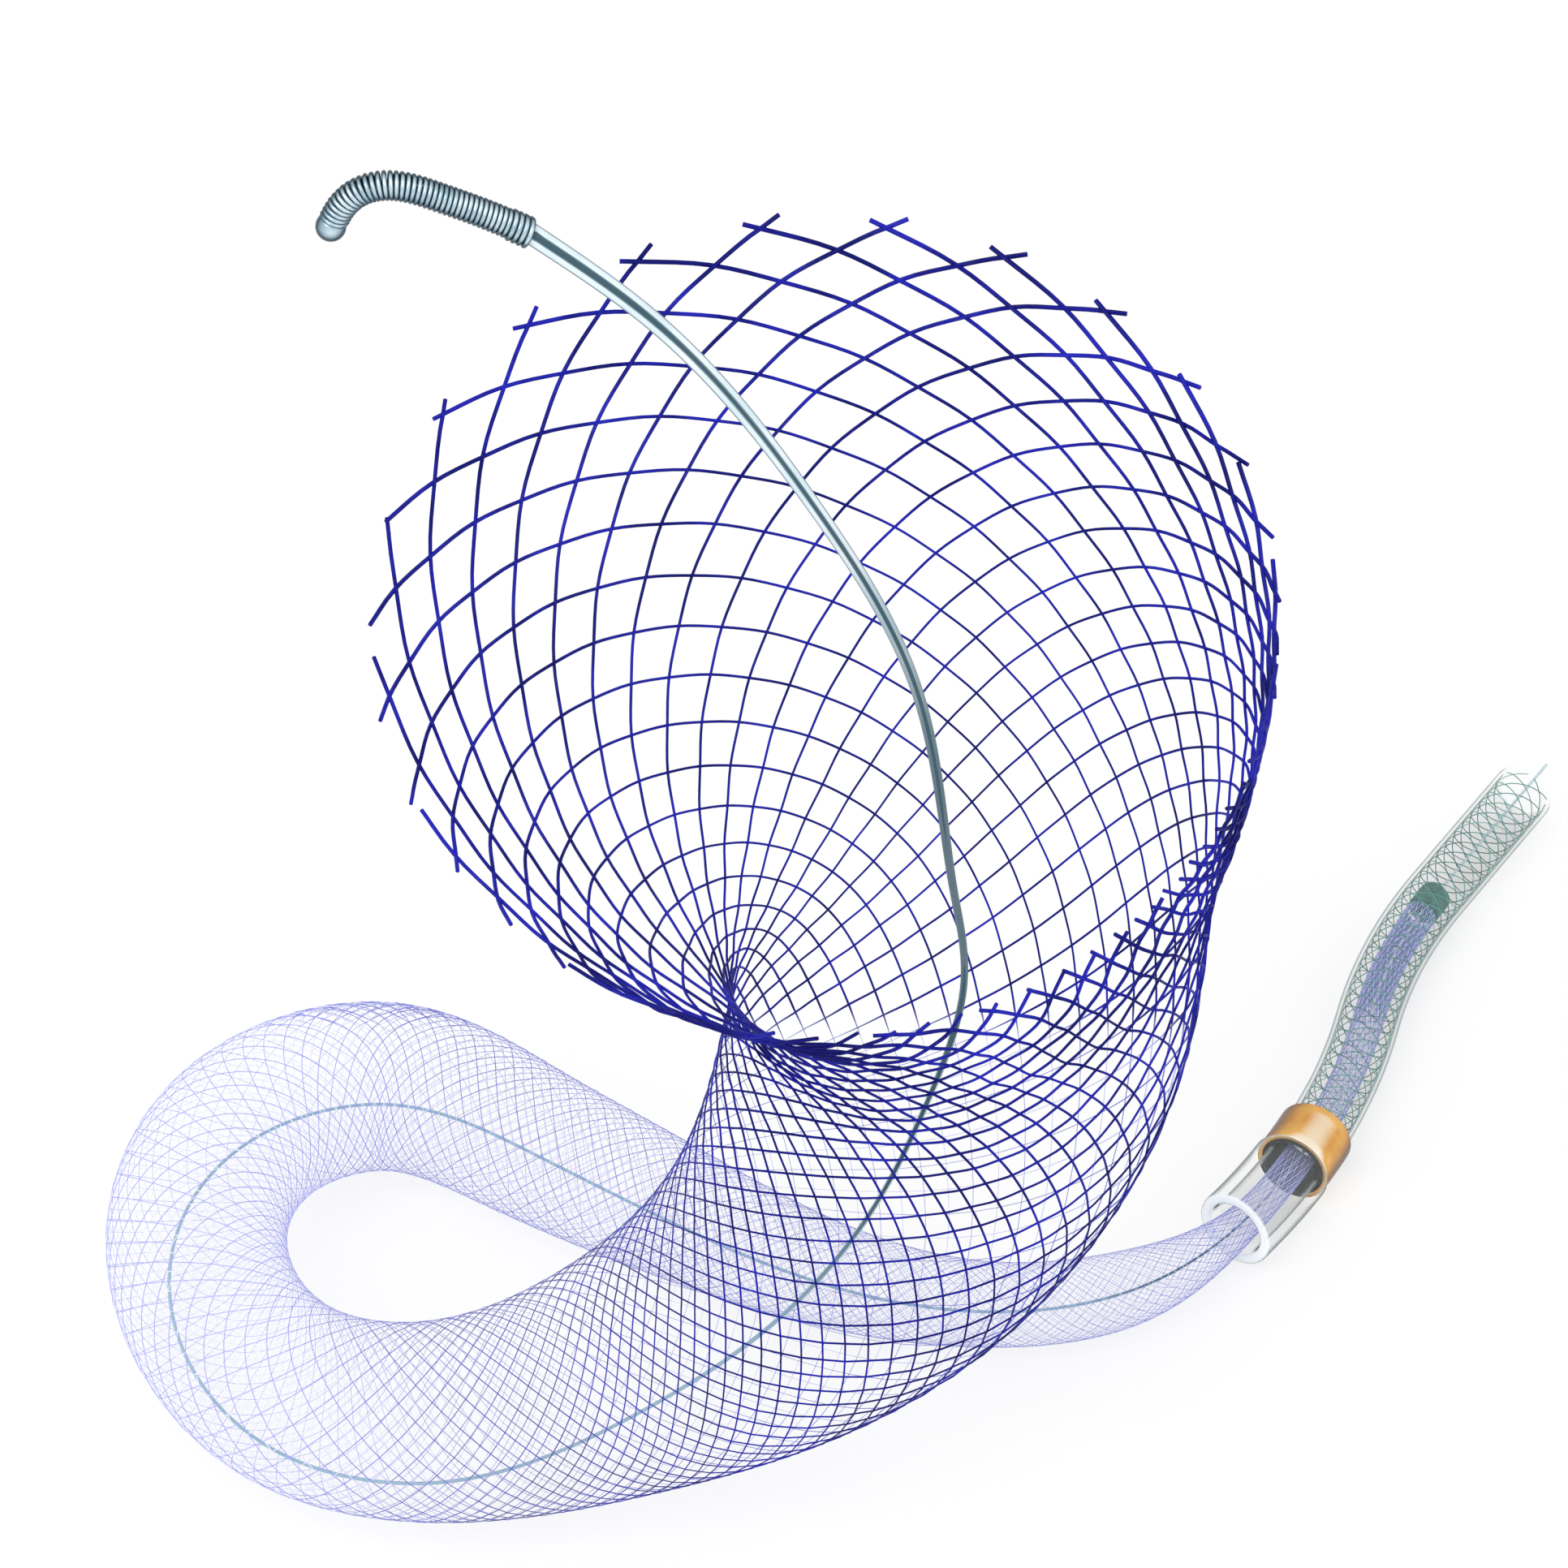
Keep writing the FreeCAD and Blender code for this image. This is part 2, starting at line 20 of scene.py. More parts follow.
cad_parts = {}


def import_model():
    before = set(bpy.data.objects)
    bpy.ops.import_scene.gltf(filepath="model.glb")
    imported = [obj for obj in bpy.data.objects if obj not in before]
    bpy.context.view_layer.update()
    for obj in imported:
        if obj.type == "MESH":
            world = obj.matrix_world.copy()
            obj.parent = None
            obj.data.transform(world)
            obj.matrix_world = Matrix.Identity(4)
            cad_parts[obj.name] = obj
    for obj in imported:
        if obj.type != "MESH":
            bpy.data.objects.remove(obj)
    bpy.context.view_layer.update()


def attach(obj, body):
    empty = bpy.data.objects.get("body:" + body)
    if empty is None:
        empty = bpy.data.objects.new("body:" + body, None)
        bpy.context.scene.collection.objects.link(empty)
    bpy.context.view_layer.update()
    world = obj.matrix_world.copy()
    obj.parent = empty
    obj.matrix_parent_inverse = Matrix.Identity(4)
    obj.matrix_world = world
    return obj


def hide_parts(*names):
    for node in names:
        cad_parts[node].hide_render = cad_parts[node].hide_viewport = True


LOG = logging.getLogger("flow_diverter")
MM = 0.001
BODY = "root"
SHOWING = "showing"
FOOTPRINT = Vector((0.535, 0.845, 0.0))
Material, Piece, Socket = bpy.types.Material, bpy.types.Object, bpy.types.NodeSocket
Pair = tuple[float, float]
Triple = tuple[float, float, float]


def between(first: float, last: float, share: float) -> float:
    """Gives the value at a share of the way from one to the other."""
    return first + (last - first) * share


def held(share: float) -> float:
    """Keeps a share between 0 and 1."""
    return min(1.0, max(0.0, share))


def eased(share: float) -> float:
    """Smooths a share, which is kept between 0 and 1."""
    share = held(share)
    return share * share * (3 - 2 * share)


def place_in(rising: Sequence[float], value: float, last: int) -> int:
    """Finds the last of some rising numbers that isn't above a value, up to a last place."""
    return max(0, min(last, bisect_right(rising, value) - 1))


def running(points: Sequence[Sequence[float]]) -> list[float]:
    """Gives the length of a line of points up to each of them."""
    return list(accumulate(map(math.dist, points, points[1:]), initial=0.0))


def read(rows: Sequence[Pair], value: float) -> float:
    """Reads a list of rows at one value, with straight lines between them.

    Args:
        rows: Pairs of a rising value and what it gives.
        value: The value.

    Returns:
        What the rows give there.
    """
    for (low, first), (high, last) in zip(rows, rows[1:]):
        if value <= high:
            return between(first, last, held((value - low) / (high - low)))
    return rows[-1][1]


def flat(heading: float) -> Vector:
    """Gives a unit vector over the floor."""
    turn = math.radians(heading)
    return Vector((math.cos(turn), math.sin(turn), 0.0))


def square_to(direction: Vector, axis: Vector) -> Vector:
    """Takes out of a direction its share along an axis."""
    return (direction - axis * direction.dot(axis)).normalized()


def in_metres(point: Vector) -> Vector:
    """Turns a place in the braid's own millimetres into the row's metres."""
    return (point - FOOTPRINT) * MM


class Signal:
    """A number that flows between nodes, on which sums are written as Python."""

    def __init__(self, graph: Graph, socket: Socket) -> None:
        """Wraps a node's output socket."""
        self.graph = graph
        self.socket = socket

    def _sum(self, operation: str, first: Any, second: Any) -> Signal:
        """Adds one Math node."""
        return self.graph.number("ShaderNodeMath", {"operation": operation}, {0: first, 1: second})

    def __add__(self, other: Any) -> Signal:
        """Adds."""
        return self._sum("ADD", self, other)

    def __radd__(self, other: Any) -> Signal:
        """Adds, reflected."""
        return self._sum("ADD", other, self)

    def __sub__(self, other: Any) -> Signal:
        """Takes away."""
        return self._sum("SUBTRACT", self, other)

    def __rsub__(self, other: Any) -> Signal:
        """Takes away, reflected."""
        return self._sum("SUBTRACT", other, self)

    def __mul__(self, other: Any) -> Signal:
        """Multiplies."""
        return self._sum("MULTIPLY", self, other)

    def __rmul__(self, other: Any) -> Signal:
        """Multiplies, reflected."""
        return self._sum("MULTIPLY", other, self)

    def most(self, other: Any) -> Signal:
        """Takes the larger of two."""
        return self._sum("MAXIMUM", self, other)

    def ramp(self, low: float, high: float) -> Signal:
        """Rises smoothly from 0 at the low value to 1 at the high one."""
        settings = {"interpolation_type": "SMOOTHSTEP"}
        return self.graph.number("ShaderNodeMapRange", settings, {0: self, 1: low, 2: high, 3: 0.0, 4: 1.0})


class Graph:
    """A material's nodes round one Principled shader."""

    def __init__(self, name: str, view_colour: Sequence[float]) -> None:
        """Starts a material.

        Args:
            name: The material's name.
            view_colour: Colour for plain viewports.
        """
        self.material = bpy.data.materials.new(name)
        self.material.use_nodes = True
        self.material.diffuse_color = (*view_colour[:3], 1.0)
        self.tree = self.material.node_tree
        self.shader = self.tree.nodes["Principled BSDF"]

    def node(self, kind: str, settings: dict[str, Any], inputs: dict[Any, Any]) -> bpy.types.Node:
        """Adds one node.

        Args:
            kind: The node's type.
            settings: Its properties, set first.
            inputs: Values or signals by socket name or number.

        Returns:
            The node.
        """
        made = self.tree.nodes.new(kind)
        for key, value in settings.items():
            setattr(made, key, value)
        for key, value in inputs.items():
            self.feed(made.inputs[key], value)
        return made

    def feed(self, socket: Socket, value: Any) -> None:
        """Sets or links one socket.

        Args:
            socket: The input.
            value: A plain value, a signal or an output socket.
        """
        if isinstance(value, Signal):
            self.tree.links.new(value.socket, socket)
        elif isinstance(value, Socket):
            self.tree.links.new(value, socket)
        else:
            socket.default_value = value

    def number(self, kind: str, settings: dict[str, Any], inputs: dict[Any, Any]) -> Signal:
        """Adds a node whose first output is a number."""
        return Signal(self, self.node(kind, settings, inputs).outputs[0])

    def place(self, scale: float) -> Socket:
        """Gives the object coordinates, in lengths of one over the scale.

        Args:
            scale: Factor on metres.

        Returns:
            A vector output.
        """
        coordinates = self.node("ShaderNodeTexCoord", {}, {})
        scaled = self.node("ShaderNodeVectorMath", {"operation": "SCALE"},
                           {0: coordinates.outputs["Object"], "Scale": scale})
        return scaled.outputs[0]

    def noise(self, per_mm: float, detail: float = 3.0) -> Signal:
        """Gives a cloudy number from 0 to 1."""
        return self.number("ShaderNodeTexNoise", {}, {"Vector": self.place(1 / MM), "Scale": per_mm,
                                                       "Detail": detail})

    def along(self, axis: str) -> Signal:
        """Gives the place along one axis in millimetres."""
        split = self.node("ShaderNodeSeparateXYZ", {}, {0: self.place(1 / MM)})
        return Signal(self, split.outputs[axis])

    def mark(self, name: str) -> Signal:
        """Gives the piece's own number of that name."""
        return Signal(self, self.node("ShaderNodeAttribute", {"attribute_name": name}, {}).outputs["Fac"])

    def edge(self) -> Signal:
        """Gives 0 where a clear wall is seen square on and 1 along its outline."""
        return Signal(self, self.node("ShaderNodeLayerWeight", {}, {"Blend": 0.5}).outputs["Facing"])

    def tint(self, base: Socket | Sequence[float], mask: Signal, colour: Sequence[float]) -> Socket:
        """Mixes a colour over another one.

        Args:
            base: Colour below, or a colour output.
            mask: 1 where the new colour covers.
            colour: The new colour.

        Returns:
            The colour output.
        """
        below = base if isinstance(base, Socket) else (*base, 1.0)
        mixed = self.node("ShaderNodeMix", {"data_type": "RGBA"}, {0: mask, 6: below, 7: (*colour, 1.0)})
        return mixed.outputs[2]

    def spread(self, noise: Signal, least_and_more: Pair) -> Signal:
        """Gives a value that rises with a noise from its least by so much more."""
        return noise * least_and_more[1] + least_and_more[0]

    def bump(self, height: Signal, distance: float, strength: float) -> None:
        """Roughens the surface.

        Args:
            height: Height from 0 to 1.
            distance: What a height of 1 stands for, in millimetres.
            strength: Strength of the bump.
        """
        made = self.node("ShaderNodeBump", {}, {"Height": height, "Distance": distance * MM,
                                                "Strength": strength})
        self.feed(self.shader.inputs["Normal"], made.outputs[0])

    def show_white(self, share: float) -> None:
        """Mixes plain white over the surface for the camera and for reflections, not for the light it throws.

        Args:
            share: Share of white.
        """
        path = self.node("ShaderNodeLightPath", {}, {})
        seen = Signal(self, path.outputs["Is Camera Ray"])
        for name in ("Is Glossy Ray", "Is Transmission Ray"):
            seen = seen.most(Signal(self, path.outputs[name]))
        white = self.node("ShaderNodeEmission", {}, {"Color": (1.0, 1.0, 1.0, 1.0), "Strength": 1.0})
        mixed = self.node("ShaderNodeMixShader", {}, {0: seen * share, 1: self.shader.outputs[0],
                                                      2: white.outputs[0]})
        self.feed(self.tree.nodes["Material Output"].inputs[0], mixed.outputs[0])

    def set(self, **sockets: Any) -> None:
        """Feeds the shader's sockets, with underscores for spaces in their names."""
        for key, value in sockets.items():
            self.feed(self.shader.inputs[key.replace("_", " ")], value)


@dataclass(frozen=True)
class HeatTintedWire:
    """Nickel-titanium wire with a deep blue oxide, paler in the loop, the strand and the neck's far wall.

    The lip's range is measured along the drawing's upward direction.
    """

    name: str = "heat_tinted_wire"
    deep: Triple = (0.002, 0.003, 0.135)
    bright: Triple = (0.012, 0.014, 0.400)
    pale: Triple = (0.240, 0.255, 0.680)
    faint: Triple = (0.400, 0.420, 0.850)
    horn_mm: Pair = (1.9, 3.1)
    belly_mm: Pair = (0.90, 1.50)
    front_mm: Pair = (-2.5, -2.2)
    loop_mm: Pair = (-4.5, -0.7)
    faint_mm: Pair = (-4.4, -2.6)
    lip_mm: Pair = (0.91, 1.21)
    far_share: Pair = (0.62, 0.38)
    view: Pair = (0.643, 0.766)
    clouds_per_mm: float = 2.2
    streaks_per_mm: float = 22.0
    patch: Pair = (0.35, 0.68)
    palest: float = 0.94
    far_share_of_pale: float = 0.92
    roughness: Pair = (0.42, 0.16)
    bump: Pair = (0.002, 0.15)
    specular: float = 0.12

    def make(self) -> Material:
        """Builds the material.

        Returns:
            The material.
        """
        graph = Graph(self.name, self.bright)
        cloud = graph.noise(self.clouds_per_mm)
        streak = graph.noise(self.streaks_per_mm, 2.0)
        height = graph.along("Z")
        depth = graph.along("Y")
        front = 1 - depth.ramp(*self.front_mm)
        body = height.ramp(*self.belly_mm).most(front) * graph.along("X").ramp(*self.loop_mm)
        upward = depth * self.view[0] + height * self.view[1]
        far_wall = (1 - upward.ramp(*self.lip_mm)) * graph.mark(SHOWING).ramp(*self.far_share)
        paleness = 1 - height.ramp(*self.horn_mm).most(body) * (1 - far_wall * self.far_share_of_pale)
        dark = graph.tint(self.deep, cloud.ramp(*self.patch), self.bright)
        colour = graph.tint(dark, paleness * self.palest, self.pale)
        colour = graph.tint(colour, paleness * (1 - graph.along("X").ramp(*self.faint_mm)), self.faint)
        graph.set(Base_Color=colour, Roughness=graph.spread(streak, self.roughness),
                  Specular_IOR_Level=self.specular)
        graph.bump(streak, *self.bump)
        return graph.material


@dataclass(frozen=True)
class DrawnSteel:
    """Polished pale steel with a painted reflection, dark along the middle and at the outlines, painted shade
    where it runs up inside the braid's horn, and a nearly even pale tone inside the loop.
    """

    name: str = "drawn_steel"
    light: Triple = (0.84, 0.93, 0.97)
    shade: Triple = (0.62, 0.77, 0.83)
    # Painted reflection and painted shade: this dark colour is mixed in along the wire's middle, at its
    # outlines and where it runs inside the braid's horn.
    dark: Triple = (0.010, 0.060, 0.090)
    pale: Triple = (0.34, 0.50, 0.62)
    upright_mm: Pair = (5.0, 10.5)
    upright_facing: Pair = (0.235, 0.075)
    # Heights between which the painted shade inside the horn is laid.
    lip_mm: Pair = (2.7, 3.2)
    clear_mm: Pair = (5.4, 8.0)
    clouds_per_mm: float = 1.6
    grain_per_mm: float = 40.0
    patch: Pair = (0.3, 0.7)
    middle_facing: Pair = (0.01, 0.10)
    outline_facing: Pair = (0.50, 0.75)
    painted_dark_strength: float = 0.95
    painted_shade_in_horn: float = 0.90
    palest: float = 0.85
    roughness: Pair = (0.24, 0.10)
    bump: Pair = (0.001, 0.08)
    metallic: float = 0.1
    specular: float = 0.2
    belly_mm: Pair = (0.9, 2.4)
    strand_mm: Pair = (1.4, 2.2)

    def make(self) -> Material:
        """Builds the material.

        Returns:
            The material.
        """
        graph = Graph(self.name, self.light)
        cloud = graph.noise(self.clouds_per_mm)
        fine = graph.noise(self.grain_per_mm, 2.0)
        edge = graph.edge()
        height = graph.along("Z")
        upright, leaning = self.upright_facing
        # Painted reflection: a dark band along the middle of the wire where it faces the view, its width set
        # by height.
        middle = edge - upright + height.ramp(*self.upright_mm) * (upright - leaning)
        # Painted shade where the wire runs up inside the braid's horn, between the lip and clear heights.
        low = height.ramp(*self.lip_mm) * (1 - height.ramp(*self.clear_mm))
        # Painted reflection as a dark middle band and dark outlines.
        painted_reflection_and_shade = (1 - middle.ramp(*self.middle_facing)).most(edge.ramp(*self.outline_facing))
        # Adds the painted shade inside the horn to the painted reflection.
        painted_reflection_and_shade = painted_reflection_and_shade.most(low * self.painted_shade_in_horn)
        body = graph.tint(self.shade, cloud.ramp(*self.patch), self.light)
        colour = graph.tint(body, painted_reflection_and_shade * self.painted_dark_strength, self.dark)
        inside = (1 - height.ramp(*self.belly_mm)) * (1 - graph.along("X").ramp(*self.strand_mm))
        graph.set(Base_Color=graph.tint(colour, inside * self.palest, self.pale), Metallic=self.metallic,
                  Roughness=graph.spread(fine, self.roughness), Specular_IOR_Level=self.specular)
        graph.bump(fine, *self.bump)
        return graph.material


@dataclass(frozen=True)
class PatchyFinish:
    """Finish in patches of two tones, with painted shade where the surface turns away from the view if it has
    a side colour, which darkens the creases between wound turns and the outlines.
    """

    name: str
    light: Triple
    shade: Triple
    clouds_per_mm: float
    metallic: float
    roughness: Pair
    # The side colour is painted shade where the surface turns away from the view.
    side: Triple | None = None
    painted_side_facing: Pair = (0.06, 0.55)
    bump: Pair | None = None
    patch: Pair = (0.3, 0.7)

    def make(self) -> Material:
        """Builds the material.

        Returns:
            The material.
        """
        graph = Graph(self.name, self.light)
        cloud = graph.noise(self.clouds_per_mm)
        colour = graph.tint(self.shade, cloud.ramp(*self.patch), self.light)
        # Painted shade: the side colour darkens where the surface turns away, as in the creases between wound
        # turns.
        if self.side:
            colour = graph.tint(colour, graph.edge().ramp(*self.painted_side_facing), self.side)
        graph.set(Base_Color=colour, Metallic=self.metallic, Roughness=graph.spread(cloud, self.roughness))
        if self.bump:
            graph.bump(cloud, *self.bump)
        return graph.material


# The coil's side colour is painted shade in the creases between its turns.
PLATINUM = PatchyFinish("wound_platinum", (0.62, 0.76, 0.83), (0.28, 0.43, 0.52), 5.0, 0.4, (0.18, 0.18),
                        side=(0.010, 0.050, 0.080))
GREEN_WIRE = PatchyFinish("green_wire", (0.16, 0.40, 0.35), (0.05, 0.20, 0.17), 3.0, 0.4, (0.40, 0.15))
PAD_POLYMER = PatchyFinish("pad_polymer", (0.05, 0.19, 0.16), (0.02, 0.09, 0.08), 30.0, 0.0, (0.55, 0.20),
                           bump=(0.004, 0.3))


@dataclass(frozen=True)
class ClearPolymer:
    """Clear flexible polymer, with painted dark green shade along its outlines, where it also grows more
    opaque.
    """

    name: str = "clear_polymer"
    light: Triple = (0.70, 0.82, 0.80)
    shade: Triple = (0.50, 0.68, 0.65)
    # The rim colour is painted shade along the outlines of the clear walls.
    rim: Triple = (0.006, 0.070, 0.055)
    opacity: float = 0.02
    outline: float = 0.80
    rim_from: float = 0.66
    rim_to: float = 0.95
    lip: float = 0.0
    lip_depth: float = 0.030
    clouds_per_mm: float = 3.0
    patch: Pair = (0.3, 0.75)
    cloudiness: float = 0.03
    roughness: float = 0.22
    specular: float = 0.3

    def make(self) -> Material:
        """Builds the material, whiter over the end face at the mouth where it has a lip.

        Returns:
            The material.
        """
        graph = Graph(self.name, self.light)
        cloud = graph.noise(self.clouds_per_mm)
        edge = graph.edge().ramp(self.rim_from, self.rim_to)
        body = graph.tint(self.light, cloud.ramp(*self.patch), self.shade)
        mouth = Vector((*CatheterLine.MOUTH, 0.0)) - FOOTPRINT
        ahead = flat(CatheterLine.HEADING)
        inside = (graph.along("X") - mouth.x) * ahead.x + (graph.along("Y") - mouth.y) * ahead.y
        face = (1 - inside.ramp(0.0, self.lip_depth)) * self.lip
        # Painted shade: the rim colour covers the body along the outlines.
        graph.set(Base_Color=graph.tint(body, edge, self.rim), Roughness=self.roughness,
                  Specular_IOR_Level=self.specular,
                  Alpha=cloud * self.cloudiness + self.opacity + (edge * self.outline).most(face))
        return graph.material


@dataclass(frozen=True)
class GoldBand:
    """Polished gold-coloured alloy with fine turning lines, a painted highlight where it faces the view and
    painted shade at its sides.
    """

    name: str = "gold_band"
    light: Triple = (0.88, 0.50, 0.14)
    shade: Triple = (0.62, 0.27, 0.04)
    # The side colour is painted shade at the band's sides, and the next colour a painted highlight.
    side: Triple = (0.10, 0.025, 0.003)
    painted_highlight: Triple = (1.0, 0.90, 0.72)
    clouds_per_mm: float = 4.0
    lines_per_mm: float = 60.0
    patch: Pair = (0.25, 0.80)
    painted_highlight_facing: Pair = (0.23, 0.34)
    painted_side_facing: Pair = (0.38, 0.80)
    painted_highlight_strength: float = 0.85
    metallic: float = 0.4
    roughness: Pair = (0.24, 0.14)
    bump: Pair = (0.002, 0.15)

    def make(self) -> Material:
        """Builds the material.

        Returns:
            The material.
        """
        graph = Graph(self.name, self.light)
        cloud = graph.noise(self.clouds_per_mm)
        fine = graph.noise(self.lines_per_mm, 2.0)
        body = graph.tint(self.light, cloud.ramp(*self.patch), self.shade)
        edge = graph.edge()
        # Painted highlight where the band faces the view.
        body = graph.tint(body, (1 - edge.ramp(*self.painted_highlight_facing)) * self.painted_highlight_strength, self.painted_highlight)
        # Painted shade at the band's sides.
        graph.set(Base_Color=graph.tint(body, edge.ramp(*self.painted_side_facing), self.side),
                  Metallic=self.metallic, Roughness=graph.spread(fine, self.roughness))
        graph.bump(fine, *self.bump)
        return graph.material


@dataclass(frozen=True)
class PaleFloor:
    """Plain pale floor that the camera sees near white."""

    name: str = "pale_floor"
    colour: Triple = (0.93, 0.93, 0.93)
    white: float = 0.65
    roughness: float = 0.9

    def make(self) -> Material:
        """Builds the material.

        Returns:
            The material.
        """
        graph = Graph(self.name, self.colour)
        graph.set(Base_Color=(*self.colour, 1.0), Roughness=self.roughness)
        graph.show_white(self.white)
        return graph.material


class Smooth:
    """Natural cubic through rows of values at rising stations."""

    def __init__(self, stations: list[float], rows: Sequence[Sequence[float]]) -> None:
        """Solves the cubic's bends.

        Args:
            stations: Rising stations, one for each row.
            rows: Values at each station.
        """
        self.stations = stations
        self.rows = rows
        count = len(rows)
        width = len(rows[0])
        step = [b - a for a, b in zip(stations, stations[1:])]
        slope = [[(b - a) / h for a, b in zip(r, q)] for r, q, h in zip(rows, rows[1:], step)]
        self.bend = [[0.0] * width for _ in range(count)]
        carry = [0.0] * count
        for i in range(1, count - 1):
            pivot = 2 * (step[i - 1] + step[i]) - step[i - 1] * carry[i - 1]
            carry[i] = step[i] / pivot
            self.bend[i] = [(6 * (slope[i][j] - slope[i - 1][j]) - step[i - 1] * self.bend[i - 1][j]) / pivot
                            for j in range(width)]
        for i in range(count - 2, 0, -1):
            self.bend[i] = [self.bend[i][j] - carry[i] * self.bend[i + 1][j] for j in range(width)]

    def at(self, station: float) -> list[float]:
        """Gives the row of values at one station.

        Args:
            station: Where to read.

        Returns:
            One value for each column.
        """
        i = place_in(self.stations, station, len(self.stations) - 2)
        h = self.stations[i + 1] - self.stations[i]
        a = (self.stations[i + 1] - station) / h
        b = 1 - a
        return [a * p + b * q + ((a ** 3 - a) * m + (b ** 3 - b) * n) * h * h / 6
                for p, q, m, n in zip(self.rows[i], self.rows[i + 1], self.bend[i], self.bend[i + 1])]


@dataclass(frozen=True)
class Stretch:
    """One bend of the catheter's line, or its straight end where the radius is None."""

    start: float
    length: float
    place: Vector
    heading: float
    radius: float | None


class CatheterLine:
    """The catheter's line over the floor, from its mouth to its cut end."""

    MOUTH = (3.23, -0.21)
    HEADING = 52.0
    BENDS = ((6.0, 24.0), (5.0, -18.0))
    STRAIGHT = 1.40
    HEIGHT = 0.30

    def __init__(self) -> None:
        """Lays the stretches end to end."""
        place = Vector((*self.MOUTH, self.HEIGHT))
        heading = self.HEADING
        start = 0.0
        self.stretches: list[Stretch] = []
        for radius, turn in self.BENDS:
            length = radius * math.radians(abs(turn))
            signed = math.copysign(radius, turn)
            self.stretches.append(Stretch(start, length, place, heading, signed))
            centre = place + flat(heading + 90) * signed
            place = centre - flat(heading + turn + 90) * signed
            heading += turn
            start += length
        self.stretches.append(Stretch(start, self.STRAIGHT, place, heading, None))
        self.length = start + self.STRAIGHT

    def at(self, depth: float) -> tuple[Vector, float]:
        """Gives a place on the line.

        Args:
            depth: Length behind the mouth.

        Returns:
            The point and the heading there.
        """
        chosen = self.stretches[0]
        for stretch in self.stretches:
            if depth >= stretch.start:
                chosen = stretch
        run = depth - chosen.start
        if chosen.radius is None:
            return chosen.place + flat(chosen.heading) * run, chosen.heading
        turned = chosen.heading + math.degrees(run / chosen.radius)
        centre = chosen.place + flat(chosen.heading + 90) * chosen.radius
        return centre - flat(turned + 90) * chosen.radius, turned


@dataclass(frozen=True)
class Ring:
    """One circle of the braid, at a level counted in wire crossings below the rim."""

    level: float
    centre: Vector
    radius: float
    back: Vector
    side: Vector
    crowding: float
    sparse_turn: float

    def point(self, angle: float, offset: float) -> Vector:
        """Gives a point on the wall.

        Args:
            angle: Radians round the circle from its back.
            offset: Distance outwards from the middle of the wall.

        Returns:
            The point in millimetres.
        """
        turn = angle + math.asin(self.crowding * math.sin(angle)) + self.sparse_turn
        spoke = self.back * math.cos(turn) + self.side * math.sin(turn)
        return self.centre + spoke * (self.radius + offset)


